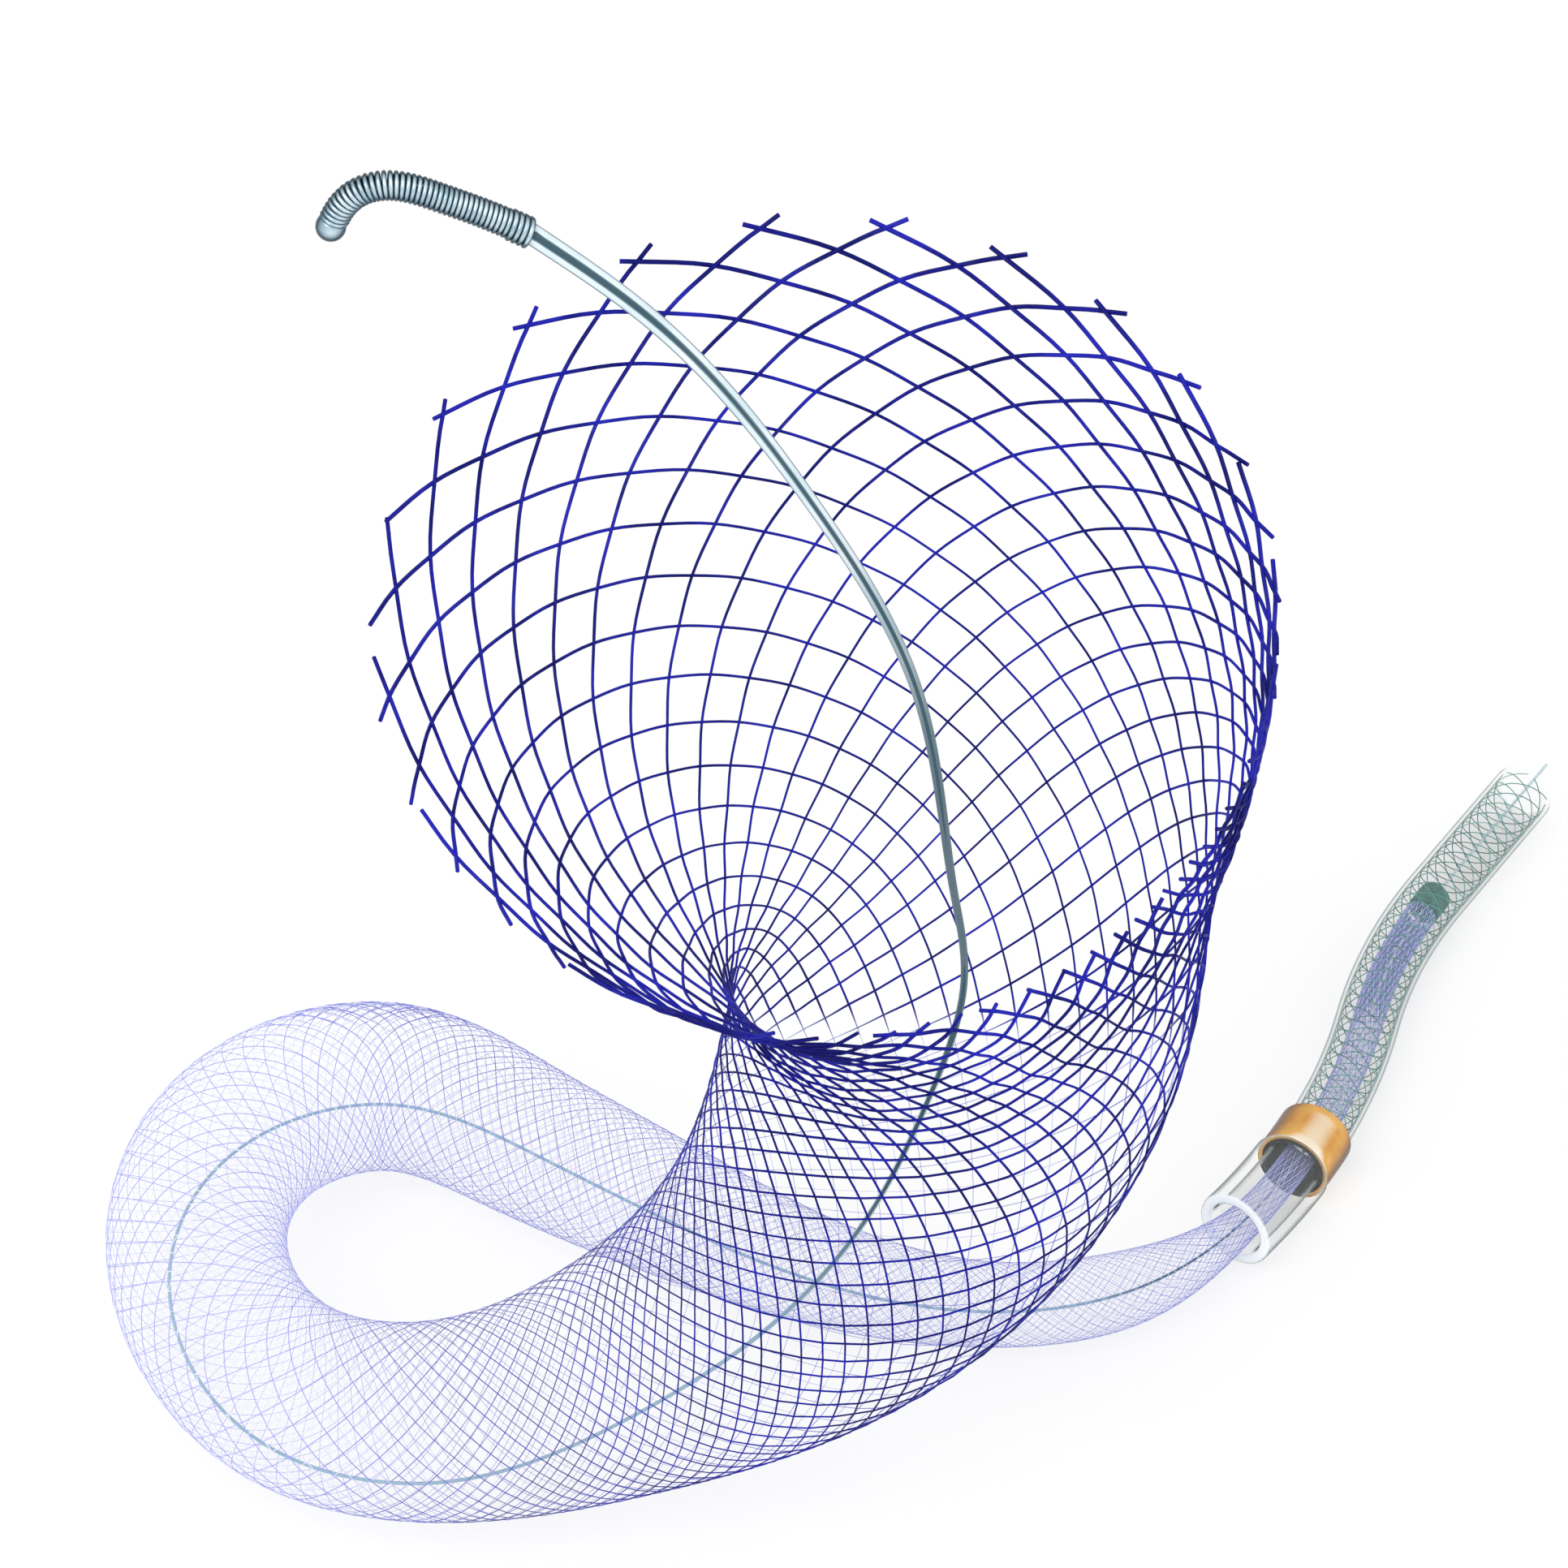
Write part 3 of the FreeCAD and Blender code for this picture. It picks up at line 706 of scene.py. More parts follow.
class BraidLine:
    """The braid's line and circles, from the flared mouth down to the tail in the catheter."""

    RIM, NECK, LOOP, STRAND, CRIMPED = 3.02, 1.58, 0.64, 0.30, 0.115
    WALL_HALF, FLOOR_GAP = 0.038, 0.01
    LEAN, CROWDING, CROWDING_POWER, SPARSE_SIDE = 26.0, 0.6, 1.5, 42.0
    RIM_STEP = 0.5
    TAIL_ANGLE = 12
    TAIL_DEPTH = 3.85
    TAIL_STATIONS = (0.0, 0.75, 1.5, 2.3, 3.1)
    FLARE_START = 19
    SAMPLES = 1400

    def __init__(self, catheter: CatheterLine, wires: int) -> None:
        """Works out the circles.

        Args:
            catheter: The catheter's line, in which the tail lies.
            wires: Wires that wind each way.
        """
        self.wires = wires
        self.route = self._route(catheter)
        self.stations = running([place[:3] for place in self.route])
        self.line = Smooth(self.stations, self.route)
        self.rings = self._rings()
        self.levels = [ring.level for ring in self.rings]

    def _route(self, catheter: CatheterLine) -> list[tuple[float, ...]]:
        """Lays the line's places from the tail to the rim.

        Args:
            catheter: The catheter's line.

        Returns:
            Places as x, y, height, radius and wire angle.
        """
        def lying(x: float, y: float, radius: float, angle: float) -> tuple[float, ...]:
            """Gives a place where the belly lies on the floor."""
            return (x, y, radius + self.WALL_HALF + self.FLOOR_GAP, radius, angle)

        tail = []
        for back in self.TAIL_STATIONS:
            point, _ = catheter.at(self.TAIL_DEPTH - back)
            tail.append((*point, self.CRIMPED, self.TAIL_ANGLE))
        mouth, _ = catheter.at(0.0)
        return [
            *tail,
            (*mouth, between(self.CRIMPED, self.STRAND, 0.15), 20),
            lying(2.51, -0.79, between(self.CRIMPED, self.STRAND, 0.8), 40),
            lying(1.63, -1.03, self.STRAND, 44),
            lying(0.77, -0.94, between(self.STRAND, self.LOOP, 0.12), 46),
            lying(-1.02, -0.12, between(self.STRAND, self.LOOP, 0.59), 50),
            lying(-1.91, 0.45, between(self.STRAND, self.LOOP, 0.76), 52),
            lying(-2.87, 0.92, between(self.STRAND, self.LOOP, 0.91), 53),
            lying(-3.65, 0.64, between(self.STRAND, self.LOOP, 0.97), 53),
            lying(-4.06, 0.03, self.LOOP, 53),
            lying(-3.89, -1.69, self.LOOP, 53),
            lying(-3.26, -2.38, self.LOOP + 0.02, 53),
            lying(-2.38, -2.59, between(self.LOOP, self.NECK, 0.06), 53),
            (-1.10, -2.32, 0.93, between(self.LOOP, self.NECK, 0.23), 52),
            (-0.17, -2.11, 1.41, between(self.LOOP, self.NECK, 0.47), 52),
            (0.52, -1.85, 2.05, between(self.LOOP, self.NECK, 0.73), 50),
            (0.98, -1.52, 2.75, between(self.LOOP, self.NECK, 0.91), 48),
            (1.21, -1.22, 3.42, self.NECK, 48),
            (1.17, -0.95, 4.10, between(self.NECK, self.RIM, 0.11), 53),
            (0.86, -0.60, 4.90, between(self.NECK, self.RIM, 0.465), 61),
            (0.29, -0.08, 5.79, self.RIM, 66),
        ]

    def _rings(self) -> list[Ring]:
        """Steps down the line from the rim and turns each circle's directions with it.

        Returns:
            The circles, the rim first.
        """
        total = self.stations[-1]
        step = total / self.SAMPLES
        lean = math.radians(90 - self.LEAN)
        mouth = Vector((0.0, -math.cos(lean), math.sin(lean)))
        back = Vector((0.0, math.sin(lean), math.cos(lean)))
        flare = self.stations[self.FLARE_START]
        level = 0.0
        rings = []
        for i in range(self.SAMPLES + 1):
            s = total - i * step
            x, y, z, radius, angle = self.line.at(s)
            ahead = Vector(self.line.at(min(total, s + step))[:3])
            behind = Vector(self.line.at(max(0.0, s - step))[:3])
            ease = eased((s - flare) / (total - flare))
            along = (ahead - behind).normalized()
            axis = (along * (1 - ease) + mouth * ease).normalized()
            back = square_to(back, axis)
            rings.append(Ring(level, Vector((x, y, z)), radius, back, axis.cross(back),
                              self.CROWDING * ease ** self.CROWDING_POWER, math.radians(self.SPARSE_SIDE)))
            level += math.tan(math.radians(angle)) / radius * step * self.wires / math.pi
        return rings

    def ring(self, level: float) -> Ring:
        """Gives the circle next above a level."""
        return self.rings[place_in(self.levels, level, len(self.rings) - 1)]

    def wall_point(self, level: float, step: float, offset: float) -> Vector:
        """Gives a point on the wall.

        Args:
            level: Crossings below the rim, less than nothing above it.
            step: Half wire spacings round the circle.
            offset: Distance outwards.

        Returns:
            The point in millimetres.
        """
        angle = step * math.pi / self.wires
        if level < 0:
            rim = self.wall_point(0.0, step, offset)
            return rim + (rim - self.wall_point(self.RIM_STEP, step, offset)) * (-level / self.RIM_STEP)
        i = place_in(self.levels, level, len(self.rings) - 2)
        share = (level - self.levels[i]) / (self.levels[i + 1] - self.levels[i])
        above = self.rings[i].point(angle, offset)
        return above.lerp(self.rings[i + 1].point(angle, offset), share)


class Shop:
    """Ways of making pieces that several classes share."""

    WIRE_SMOOTH = math.radians(60)

    @staticmethod
    def clear() -> None:
        """Deselects everything."""
        bpy.ops.object.select_all(action="DESELECT")

    @staticmethod
    def latest() -> Piece:
        """Gives the object that was made last."""
        return bpy.context.view_layer.objects.active

    @staticmethod
    def wires(name: str, runs: Sequence[Sequence[Vector]], radii: Callable[[int, int], float],
              roundness: int, capped: bool = True) -> Piece:
        """Makes round wires along runs of points, as one mesh.

        Args:
            name: The piece's name.
            runs: Points of each wire, in metres.
            radii: Gives the radius in metres from a wire's number and a point's number.
            roundness: Bevel resolution of the wires.
            capped: Whether their ends are closed.

        Returns:
            The mesh object, with its place in its mesh.
        """
        curve = bpy.data.curves.new(name, "CURVE")
        curve.dimensions = "3D"
        curve.bevel_depth = 1.0
        curve.bevel_resolution = roundness
        curve.use_fill_caps = capped
        for number, run in enumerate(runs):
            spline = curve.splines.new("POLY")
            spline.points.add(len(run) - 1)
            for i, point in enumerate(run):
                spline.points[i].co = (*point, 1.0)
                spline.points[i].radius = radii(number, i)
        made = bpy.data.objects.new(name, curve)
        bpy.context.collection.objects.link(made)
        Shop.clear()
        made.select_set(True)
        bpy.context.view_layer.objects.active = made
        bpy.ops.object.convert(target="MESH")
        bpy.ops.object.shade_smooth_by_angle(angle=Shop.WIRE_SMOOTH)
        return Shop.latest()

    @staticmethod
    def mark(piece: Piece, name: str, points: Sequence[Vector], values: Sequence[float]) -> None:
        """Gives each point's number to the vertices that lie nearest to it.

        Args:
            piece: A mesh of round wires.
            name: The attribute's name.
            points: The wires' points.
            values: A number for each point.
        """
        near = KDTree(len(points))
        for number, point in enumerate(points):
            near.insert(point, number)
        near.balance()
        layer = piece.data.attributes.new(name, "FLOAT", "POINT")
        layer.data.foreach_set("value", [values[near.find(vertex.co)[1]] for vertex in piece.data.vertices])

    @staticmethod
    def finish(piece: Piece, material: Material, nodes: Sequence[str], slot: str) -> None:
        """Dresses a piece and ties it to the frame.

        Args:
            piece: The finished mesh object.
            material: Its material.
            nodes: Solid nodes that it stands for.
            slot: The record's material slot; not used.
        """
        piece.data.materials.clear()
        piece.data.materials.append(material)
        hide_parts(*nodes)
        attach(piece, BODY)
        LOG.info("%s: %d faces", piece.name, len(piece.data.polygons))


class Hand(Enum):
    """Which way a wire winds."""

    LEFT = 1
    RIGHT = -1


@dataclass(frozen=True)
class Course:
    """One wire's points, in metres, with its radius and how far it faces the shown side at each."""

    points: list[Vector]
    radii: list[float]
    showing: list[float]


@dataclass
class Braid:
    """The implant: wires of both hands, laid over and under each other.

    The two lists give the wires' radius by the braid's radius, on the side that is shown and on the side
    away. The inner radius is for the far wall where it is seen through the mouth.
    """

    wires: int = 34
    bundles: int = 4
    shown_wires: tuple[Pair, ...] = ((0.10, 0.0022), (0.30, 0.0018), (0.64, 0.0033),
                                                    (1.20, 0.0070), (1.58, 0.0094), (3.02, 0.0125))
    away_wires: tuple[Pair, ...] = ((0.10, 0.0015), (0.30, 0.0010), (0.64, 0.0016),
                                                   (1.20, 0.0018), (1.50, 0.0024), (1.66, 0.0085),
                                                   (2.20, 0.0105), (2.60, 0.0138), (3.02, 0.0192))
    inner_radius: float = 0.0082
    inner_from: float = 1.45
    inner_to: float = 1.75
    shown_side: Triple = (0.0, -0.766, 0.643)
    rim_end: float = 0.17
    lip_end: float = 0.05
    weave: float = 0.5
    gather_level: float = 18.0
    gather_span: float = 8.0
    gather: float = 12.5
    gather_turn: float = 25.0
    gather_power: float = 2.2
    fine_levels: int = 34
    parts_per_level: int = 4
    roundness: int = 1

    def build(self, line: BraidLine, strong: Material, soft: Material) -> None:
        """Weaves the braid.

        Args:
            line: The braid's line for this count of wires.
            strong: Finish of every other wire.
            soft: Finish of the wires between them.
        """
        last = int(line.levels[-1])
        levels = [i / self.parts_per_level for i in range(self.fine_levels * self.parts_per_level)]
        levels += [float(level) for level in range(self.fine_levels, last + 1)]
        for hand in Hand:
            for bundle in range(self.bundles):
                courses = [self._wire(line, hand, wire, levels)
                           for wire in range(bundle, self.wires, self.bundles)]
                piece = Shop.wires(f"braid_{hand.name.lower()}_wires_{bundle + 1}",
                                   [course.points for course in courses],
                                   lambda number, point: courses[number].radii[point], self.roundness)
                Shop.mark(piece, SHOWING, [point for course in courses for point in course.points],
                          [share for course in courses for share in course.showing])
                Shop.finish(piece, soft if bundle % 2 else strong, ["braid"], "braid_wire")

    def _showing(self, ring: Ring, angle: float) -> float:
        """Gives 1 on the side of the braid that is shown and 0 on the side away."""
        outward = (ring.point(angle, 0.0) - ring.centre).normalized()
        return eased((outward.dot(Vector(self.shown_side)) + 1) / 2)

    def _wire_radius(self, ring: Ring, angle: float, showing: float) -> float:
        """Gives a wire's radius, thinner where the drawing's lines are thin.

        Args:
            ring: The circle that the wire is on.
            angle: Radians round it from its back.
            showing: 1 on the side that is shown and 0 on the side away.

        Returns:
            The radius in millimetres.
        """
        place = ring.point(angle, 0.0)
        upward = place.y * self.shown_side[2] - place.z * self.shown_side[1]
        seen = held((upward - self.inner_from) / (self.inner_to - self.inner_from))
        away = max(read(self.away_wires, ring.radius), self.inner_radius * seen)
        return between(away, read(self.shown_wires, ring.radius), showing)

    def _ring_level(self, level: float, angle: float) -> float:
        """Gives the circle for a crossing level, further up where the mouth's wall is short.

        Args:
            level: Crossings below the rim at the back.
            angle: Radians round the circle from its back.

        Returns:
            The circle's level, less than nothing above the rim.
        """
        front = (1 - math.cos(angle + math.radians(self.gather_turn))) / 2
        near = eased((self.gather_level - level) / self.gather_span)
        return level - self.gather * front ** self.gather_power * near

    def _wire(self, line: BraidLine, hand: Hand, wire: int, levels: Sequence[float]) -> Course:
        """Runs one wire from the tail up to the rim, where it is cut.

        Args:
            line: The braid's line.
            hand: Which way it winds.
            wire: Its number.
            levels: Rising crossing levels of its points.

        Returns:
            Its course, the tail first.
        """
        points: list[Vector] = []
        radii: list[float] = []
        facing: list[float] = []
        below = 0.0
        for level in reversed(levels):
            step = 2 * wire + hand.value * level
            angle = step * math.pi / line.wires
            height = self._ring_level(level, angle)
            ring = line.ring(height)
            showing = self._showing(ring, angle)
            radius = self._wire_radius(ring, angle, showing)
            lift = hand.value * math.cos(math.pi * level) * radius * self.weave
            point = in_metres(line.wall_point(height, step, lift))
            radii.append(radius * MM)
            facing.append(showing)
            if height < 0:
                points.append(points[-1].lerp(point, below / (below - height)))
                break
            points.append(point)
            below = height
        ahead = (points[-1] - points[-3]).normalized()
        points.append(points[-1] + ahead * between(self.rim_end, self.lip_end, showing) * MM)
        radii.append(radii[-1])
        facing.append(showing)
        return Course(points, radii, facing)


@dataclass
class DeliveryWire:
    """Core wire through the catheter and the braid, and out of the mouth to the coil."""

    stub_radius: float = 0.011
    loop_radius: float = 0.013
    neck_radius: float = 0.028
    top_radius: float = 0.069
    stub: float = 0.40
    belly_sag: float = 0.72
    plane_y: float = -1.25
    free: tuple[Pair, ...] = ((1.14, 4.40), (0.87, 6.15), (0.18, 7.70), (-0.85, 9.18),
                                            (-1.57, 9.82))
    hook: tuple[Pair, ...] = ((-1.85, 9.97), (-2.14, 10.10), (-2.44, 10.19), (-2.60, 10.16),
                                            (-2.74, 10.04), (-2.82, 9.88))
    loop_middle: Pair = (-2.5, -0.85)
    rise_stations: tuple[int, int] = (5, 9)
    fall_stations: tuple[int, int] = (20, 16)
    belly_stations: int = 22
    sag_down: float = 0.87
    sag_out: float = 0.5
    tail_spacing: float = 0.45
    tail_margin: float = 0.1
    ball_radius: float = 0.098
    ball_seat: float = 0.55
    ball_parts: tuple[int, int] = (40, 24)
    collar_length: float = 0.16
    collar_radius: float = 0.106
    collar_turns: int = 4
    collar_start: float = 0.005
    coil_radius: float = 0.098
    coil_turns: int = 38
    turn_points: int = 14
    turn_fill: float = 0.98
    axis_step: float = 0.01
    point_spacing: float = 0.06
    neck_points: int = 5
    roundness: int = 5
    turn_roundness: int = 2

    def _belly_place(self, line: BraidLine, s: float) -> Vector:
        """Gives the wire's place inside the braid.

        Args:
            line: The braid's line.
            s: Station on it.

        Returns:
            The point in millimetres.
        """
        x, y, z, radius, _ = line.line.at(s)
        outward = Vector((x - self.loop_middle[0], y - self.loop_middle[1], 0.0)).normalized()
        begin, settled = (line.stations[i] for i in self.rise_stations)
        end, leaving = (line.stations[i] for i in self.fall_stations)
        low = min(held((s - begin) / (settled - begin)), held((end - s) / (end - leaving)))
        sag = self.belly_sag * low * (min(radius, line.LOOP) - line.WALL_HALF)
        return Vector((x, y, z - self.sag_down * sag)) + outward * (self.sag_out * sag)

    def points(self, line: BraidLine, catheter: CatheterLine) -> list[Vector]:
        """Gives the wire's chosen points from its stub to the collar.

        Args:
            line: The braid's line.
            catheter: The catheter's line.

        Returns:
            Points in millimetres.
        """
        made = []
        depth = catheter.length + self.stub
        while depth > line.TAIL_DEPTH + self.tail_margin:
            made.append(catheter.at(depth)[0])
            depth -= self.tail_spacing
        made += [self._belly_place(line, s) for s in line.stations[:self.belly_stations]]
        made += [Vector((x, self.plane_y, z)) for x, z in self.free]
        return made

    @staticmethod
    def _curve(points: Sequence[Vector]) -> Callable[[float], Vector]:
        """Draws a smooth curve through points.

        Args:
            points: Points in millimetres.

        Returns:
            A function from a share of its length to a point.
        """
        stations = running(points)
        smooth = Smooth(stations, [tuple(p) for p in points])
        return lambda share: Vector(smooth.at(share * stations[-1]))

    def build(self, line: BraidLine, catheter: CatheterLine, steel: Material, platinum: Material) -> None:
        """Makes the wire, the collar, the coil and the ball.

        Args:
            line: The braid's line.
            catheter: The catheter's line.
            steel: Finish of the wire.
            platinum: Finish of the coil, the collar and the ball.
        """
        points = self.points(line, catheter)
        whole = self._curve(points)
        length = running(points)[-1]
        neck = 1 - running(points[-len(self.free):])[-1] / length
        loop = 1 - running(points[-len(self.free) - self.neck_points:])[-1] / length
        steps = int(length / self.point_spacing)
        hook_points = [points[-1]] + [Vector((x, self.plane_y, z)) for x, z in self.hook]
        hook = self._curve(hook_points)
        hook_length = running(hook_points)[-1]
        radii = ((0.0, self.stub_radius), (loop, self.loop_radius), (neck, self.neck_radius),
                 (1.0, self.top_radius))
        run = [in_metres(whole(i / steps)) for i in range(steps + 1)]
        run.append(in_metres(hook(self.collar_length / 2 / hook_length)))
        wire = Shop.wires("core_wire", [run], lambda number, point: read(radii, point / steps) * MM,
                          self.roundness)
        Shop.finish(wire, steel, ["delivery_wire"], "polished_wire")
        self._coil(hook, hook_length, platinum)

    def _coil(self, hook: Callable[[float], Vector], length: float, platinum: Material) -> None:
        """Winds the tip coil and its thicker first turns on the hook, and adds the ball.

        Args:
            hook: The hook's curve.
            length: Its length.
            platinum: Finish.
        """
        first = self.collar_length / length
        last = 1 - self.ball_radius * self.ball_seat / length
        coil = self._winding("wound_tip_coil", hook, (first, last), length, self.coil_radius, self.coil_turns)
        Shop.finish(coil, platinum, ["tip_coil"], "platinum")
        collar = self._winding("wound_collar", hook, (self.collar_start, first), length,
                               self.collar_radius, self.collar_turns)
        Shop.finish(collar, platinum, ["coil_collar"], "platinum")
        self._ball(hook(1.0), platinum)

    def _winding(self, name: str, hook: Callable[[float], Vector], shares: Pair, length: float,
                 outer: float, turns: int) -> Piece:
        """Winds close turns on a stretch of the hook.

        Args:
            name: The piece's name.
            hook: The hook's curve.
            shares: Shares of the hook's length where the turns start and end.
            length: The hook's length.
            outer: Outer radius of the turns.
            turns: How many there are.

        Returns:
            The mesh object.
        """
        wire_radius = (shares[1] - shares[0]) * length / turns / 2
        winding = outer - wire_radius
        plane = Vector((0.0, 1.0, 0.0))
        run = []
        total = turns * self.turn_points
        for i in range(total + 1):
            share = between(*shares, i / total)
            axis = hook(held(share + self.axis_step)) - hook(held(share - self.axis_step))
            across = axis.normalized().cross(plane)
            turn = 2 * math.pi * i / self.turn_points
            run.append(in_metres(hook(share) + (plane * math.cos(turn) + across * math.sin(turn)) * winding))
        return Shop.wires(name, [run], lambda number, point: wire_radius * self.turn_fill * MM,
                          self.turn_roundness)

    def _ball(self, centre: Vector, platinum: Material) -> None:
        """Adds the welded ball.

        Args:
            centre: Its middle in millimetres.
            platinum: Finish.
        """
        Shop.clear()
        segments, ring_count = self.ball_parts
        bpy.ops.mesh.primitive_uv_sphere_add(segments=segments, ring_count=ring_count,
                                             radius=self.ball_radius * MM, location=in_metres(centre))
        ball = Shop.latest()
        ball.name = "welded_tip_ball"
        bpy.ops.object.transform_apply(location=True, rotation=True, scale=True)
        bpy.ops.object.shade_smooth()
        Shop.finish(ball, platinum, ["tip_ball"], "platinum")


@dataclass
class Catheter:
    """The end of the catheter: soft tip, band, jacket, reinforcement and liner."""

    tip_outer: float = 0.30
    tip_wall: float = 0.085
    tip_length: float = 0.80
    shaft_outer: float = 0.24
    jacket_wall: float = 0.028
    layer_wall: float = 0.010
    liner_wall: float = 0.014
    layer_gap: float = 0.003
    fit_gap: float = 0.005
    band_length: float = 0.40
    band_wall: float = 0.040
    liner_setback: float = 0.12
    pad_radius: float = 0.125
    pad_length: float = 0.22
    pad_bore: float = 0.035
    tip_edge: float = 0.025
    band_edge: float = 0.010
    jacket_edge: float = 0.004
    liner_edge: float = 0.003
    pad_edge: float = 0.020
    edge_angle: float = 50.0
    smooth_angle: float = 40.0
    layer_wires: int = 5
    layer_wire_radius: float = 0.0038
    layer_angle: float = 62.0
    layer_lift: float = 0.003
    layer_turn_points: int = 24
    roundness: int = 14
    row_length: float = 0.08
    least_rows: int = 4
    edge_rows: int = 3
    layer_roundness: int = 0

    def tube(self, name: str, line: CatheterLine, outer: float, wall: float, begin: float,
             end: float, edge: float) -> Piece:
        """Sweeps a tube along the catheter's line.

        Args:
            name: The piece's name.
            line: The catheter's line.
            outer: Outer radius.
            wall: Wall thickness.
            begin: Depth where it starts.
            end: Depth where it ends.
            edge: Width of the rounded edges.

        Returns:
            The mesh object.
        """
        steps = max(self.least_rows, round((end - begin) / self.row_length))
        run = [in_metres(line.at(between(begin, end, i / steps))[0]) for i in range(steps + 1)]
        made = Shop.wires(name, [run], lambda number, point: outer * MM, self.roundness, capped=False)
        solidify = made.modifiers.new("wall", "SOLIDIFY")
        solidify.thickness = wall * MM
        solidify.offset = -1.0
        bpy.ops.object.modifier_apply(modifier="wall")
        bevel = made.modifiers.new("edges", "BEVEL")
        bevel.width = edge * MM
        bevel.segments = self.edge_rows
        bevel.limit_method = "ANGLE"
        bevel.angle_limit = math.radians(self.edge_angle)
        bpy.ops.object.modifier_apply(modifier="edges")
        bpy.ops.object.shade_smooth_by_angle(angle=math.radians(self.smooth_angle))
        return made

    def build(self, line: CatheterLine, braid_tail: float, soft: Material,
              clear: Material, liner_polymer: Material, gold: Material,
              green: Material, pad: Material) -> None:
        """Makes the catheter's pieces and the pad inside it.

        Args:
            line: The catheter's line.
            braid_tail: Depth of the braid's tail.
            soft: Finish of the tip.
            clear: Finish of the jacket.
            liner_polymer: Finish of the liner.
            gold: Finish of the band.
            green: Finish of the reinforcement.
            pad: Finish of the pad.
        """
        jacket_inner = self.shaft_outer - self.jacket_wall
        layer_outer = jacket_inner - self.layer_gap
        layer_inner = layer_outer - self.layer_wall
        liner_outer = layer_inner - self.layer_gap
        band_start = self.tip_length + self.fit_gap
        band_end = band_start + self.band_length
        band_outer = self.shaft_outer + self.layer_gap + self.band_wall
        tip = self.tube("clear_soft_tip", line, self.tip_outer, self.tip_wall, 0.0, self.tip_length,
                        self.tip_edge)
        Shop.finish(tip, soft, ["catheter_soft_tip"], "clear_polymer")
        band = self.tube("gold_marker_band", line, band_outer, self.band_wall, band_start, band_end,
                         self.band_edge)
        Shop.finish(band, gold, ["marker_band"], "gold_band")
        jacket = self.tube("clear_jacket", line, self.shaft_outer, self.jacket_wall, band_start, line.length,
                           self.jacket_edge)
        Shop.finish(jacket, clear, ["catheter_jacket"], "clear_polymer")
        liner = self.tube("thin_liner", line, liner_outer, self.liner_wall, self.liner_setback, line.length,
                          self.liner_edge)
        Shop.finish(liner, liner_polymer, ["catheter_liner"], "liner_polymer")
        layer = self._reinforcement(line, band_end, (layer_outer + layer_inner) / 2)
        Shop.finish(layer, green, ["reinforcement_braid"], "green_wire")
        pad_start = braid_tail + self.fit_gap
        ring = self.tube("wire_pad", line, self.pad_radius, self.pad_radius - self.pad_bore, pad_start,
                         pad_start + self.pad_length, self.pad_edge)
        Shop.finish(ring, pad, ["resheathing_pad"], "pad_polymer")

    def _reinforcement(self, line: CatheterLine, begin: float, radius: float) -> Piece:
        """Weaves the wires in the tube's wall.

        Args:
            line: The catheter's line.
            begin: Depth where they start.
            radius: Radius of their layer.

        Returns:
            The mesh object.
        """
        length = line.length - begin
        turns = length * math.tan(math.radians(self.layer_angle)) / (2 * math.pi * radius)
        steps = int(turns * self.layer_turn_points)
        up = Vector((0.0, 0.0, 1.0))
        runs = []
        for hand in Hand:
            for wire in range(self.layer_wires):
                run = []
                for i in range(steps + 1):
                    place, heading = line.at(begin + length * i / steps)
                    turn = 2 * math.pi * (wire / self.layer_wires + hand.value * turns * i / steps)
                    spoke = flat(heading + 90) * math.cos(turn) + up * math.sin(turn)
                    run.append(in_metres(place + spoke * (radius + hand.value * self.layer_lift)))
                runs.append(run)
        return Shop.wires("green_reinforcement_wires", runs,
                          lambda number, point: self.layer_wire_radius * MM, self.layer_roundness)


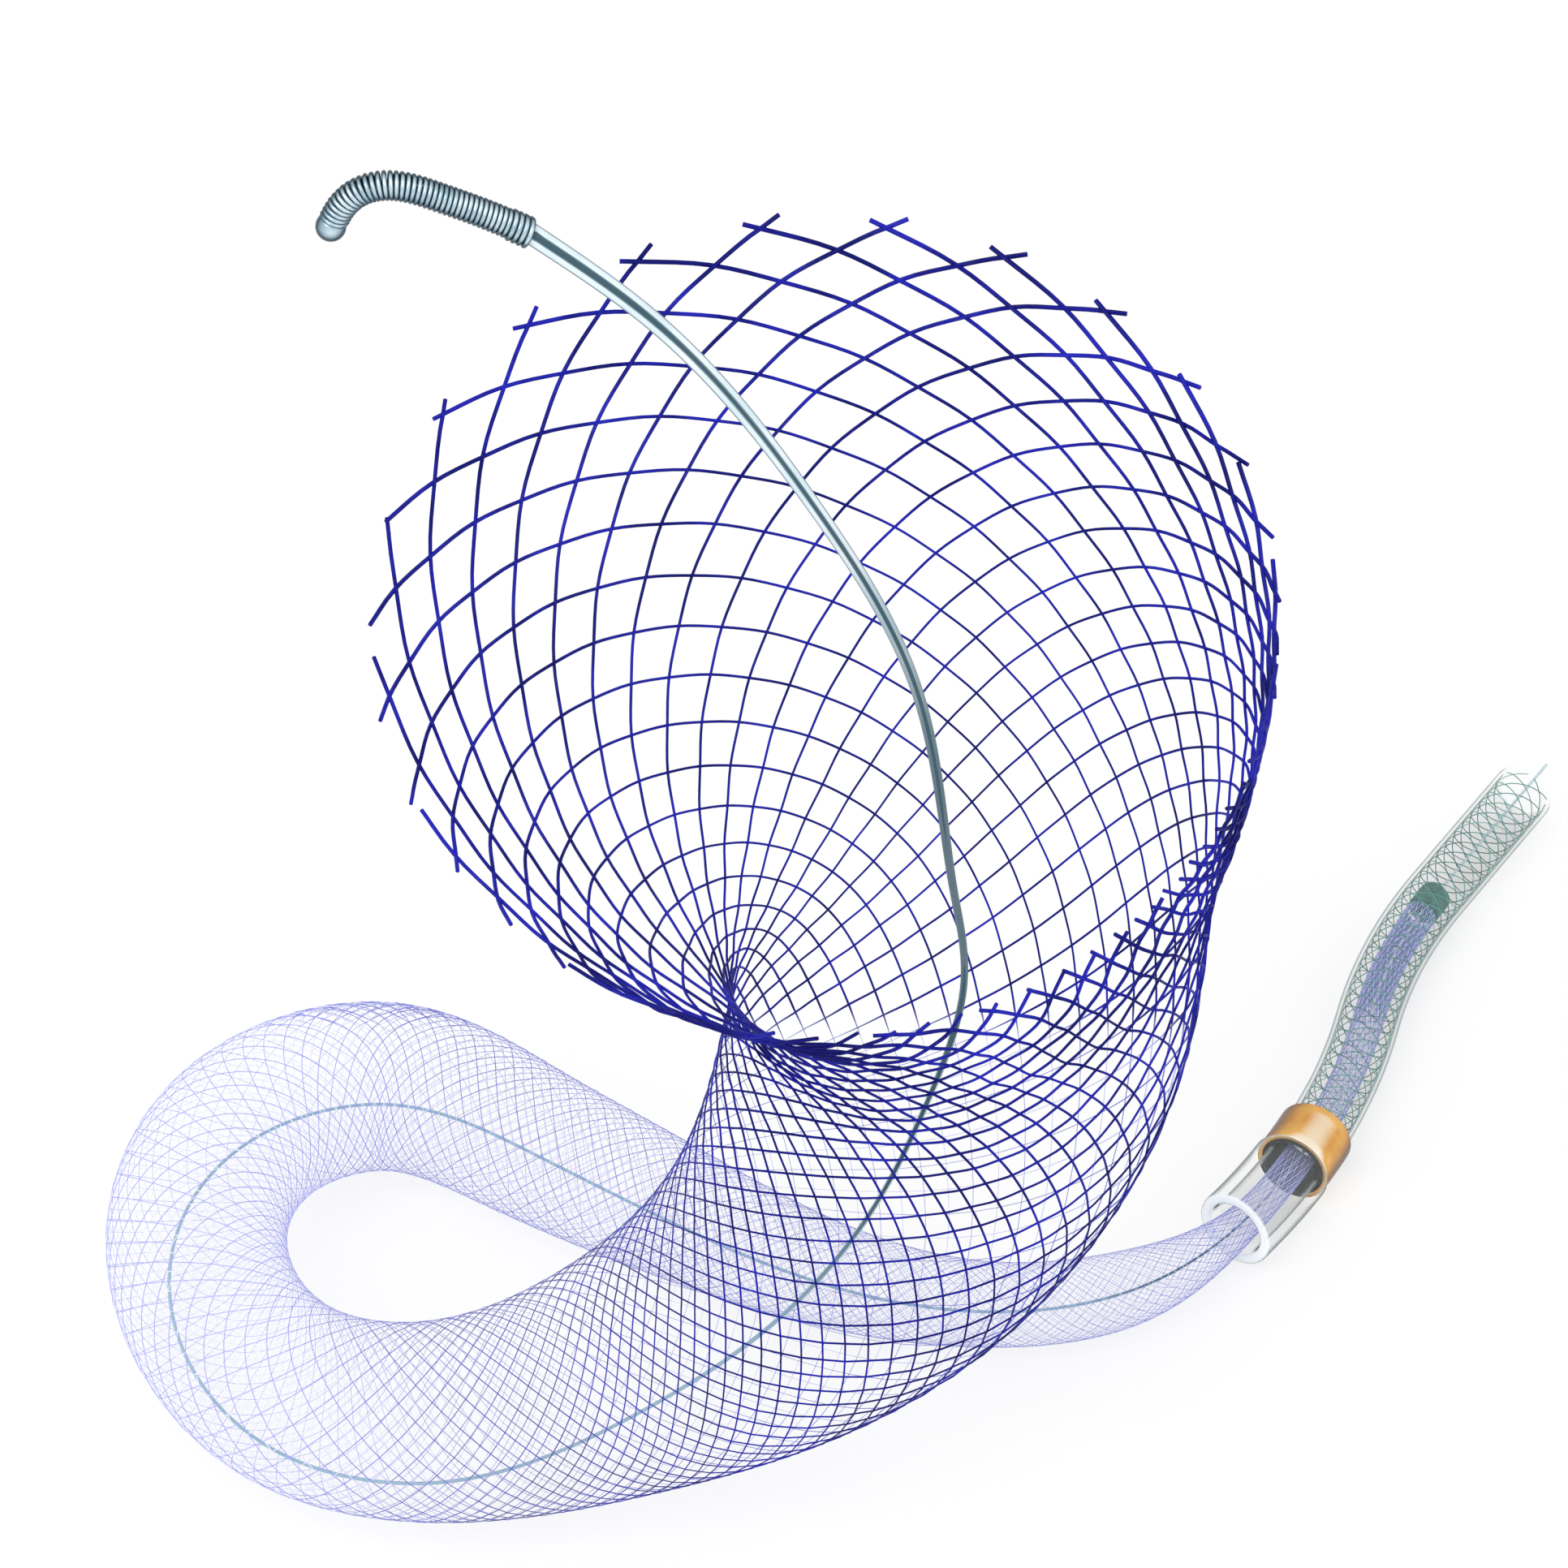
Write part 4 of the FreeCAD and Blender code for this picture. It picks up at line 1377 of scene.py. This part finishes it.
@dataclass
class Studio:
    """Floor, light and camera. Each lamp has a name, tilt, turn, strength and width in degrees."""

    elevation: float = 40.0
    distance: float = 50.0
    target: Triple = (0.0, 0.0, 4.3)
    pixels_per_mm: float = 180.0
    image_pixels: float = 1932.0
    sensor: float = 36.0
    floor_size: float = 1600.0
    clip_metres: Pair = (0.001, 10.0)
    lamps: tuple[tuple[str, float, float, float, float], ...] = (("key", 38.0, -35.0, 1.5, 40.0),
                                                                 ("fill", 55.0, 60.0, 0.5, 60.0))
    world_strength: float = 0.72

    def build(self) -> None:
        """Sets the stage."""
        Shop.clear()
        bpy.ops.mesh.primitive_plane_add(size=self.floor_size * MM, location=(0.0, 0.0, 0.0))
        floor = Shop.latest()
        floor.name = "floor"
        floor.data.materials.append(PaleFloor().make())
        self._camera()
        self._lights()

    def _camera(self) -> None:
        """Places the camera at the drawing's viewing angle."""
        turn = math.radians(self.elevation)
        forward = Vector((0.0, math.cos(turn), -math.sin(turn)))
        bpy.ops.object.camera_add(location=in_metres(Vector(self.target) - forward * self.distance),
                                  rotation=(math.pi / 2 - turn, 0.0, 0.0))
        camera = Shop.latest()
        camera.data.sensor_width = self.sensor
        camera.data.lens = self.pixels_per_mm * self.distance / self.image_pixels * self.sensor
        camera.data.clip_start, camera.data.clip_end = self.clip_metres
        bpy.context.scene.camera = camera

    def _lights(self) -> None:
        """Adds soft lamps and an even world."""
        for name, tilt, turn, strength, width in self.lamps:
            bpy.ops.object.light_add(type="SUN", rotation=(math.radians(tilt), 0.0, math.radians(turn)))
            lamp = Shop.latest()
            lamp.name = f"{name}_light"
            lamp.data.energy = strength
            lamp.data.angle = math.radians(width)
        world = bpy.data.worlds.new("studio_world")
        bpy.context.scene.world = world
        world.use_nodes = True
        background = world.node_tree.nodes["Background"]
        background.inputs["Color"].default_value = (1.0, 1.0, 1.0, 1.0)
        background.inputs["Strength"].default_value = self.world_strength
        bpy.context.scene.view_settings.view_transform = "Standard"


def main() -> None:
    """Builds the dressed object on its frame."""
    logging.basicConfig(level=logging.INFO, format="%(message)s")
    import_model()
    catheter_line = CatheterLine()
    braid = Braid()
    braid_line = BraidLine(catheter_line, braid.wires)
    soft_wire = HeatTintedWire("soft_heat_tinted_wire", pale=(0.62, 0.64, 0.93), faint=(0.78, 0.80, 0.97))
    # The clear polymers' rim colours are painted shade along their outlines, strongest on the tip.
    soft_tip = ClearPolymer("soft_tip_polymer", light=(0.95, 0.98, 0.97), shade=(0.88, 0.94, 0.93),
                            rim=(0.000, 0.045, 0.035), outline=1.0, rim_from=0.56, rim_to=0.86, lip=0.90)
    liner = ClearPolymer("liner_polymer", opacity=0.01, outline=0.12)
    braid.build(braid_line, HeatTintedWire().make(), soft_wire.make())
    DeliveryWire().build(braid_line, catheter_line, DrawnSteel().make(), PLATINUM.make())
    Catheter().build(catheter_line, braid_line.TAIL_DEPTH, soft_tip.make(),
                     ClearPolymer("jacket_polymer").make(), liner.make(), GoldBand().make(),
                     GREEN_WIRE.make(), PAD_POLYMER.make())
    Studio().build()


if __name__ == "__main__":
    main()
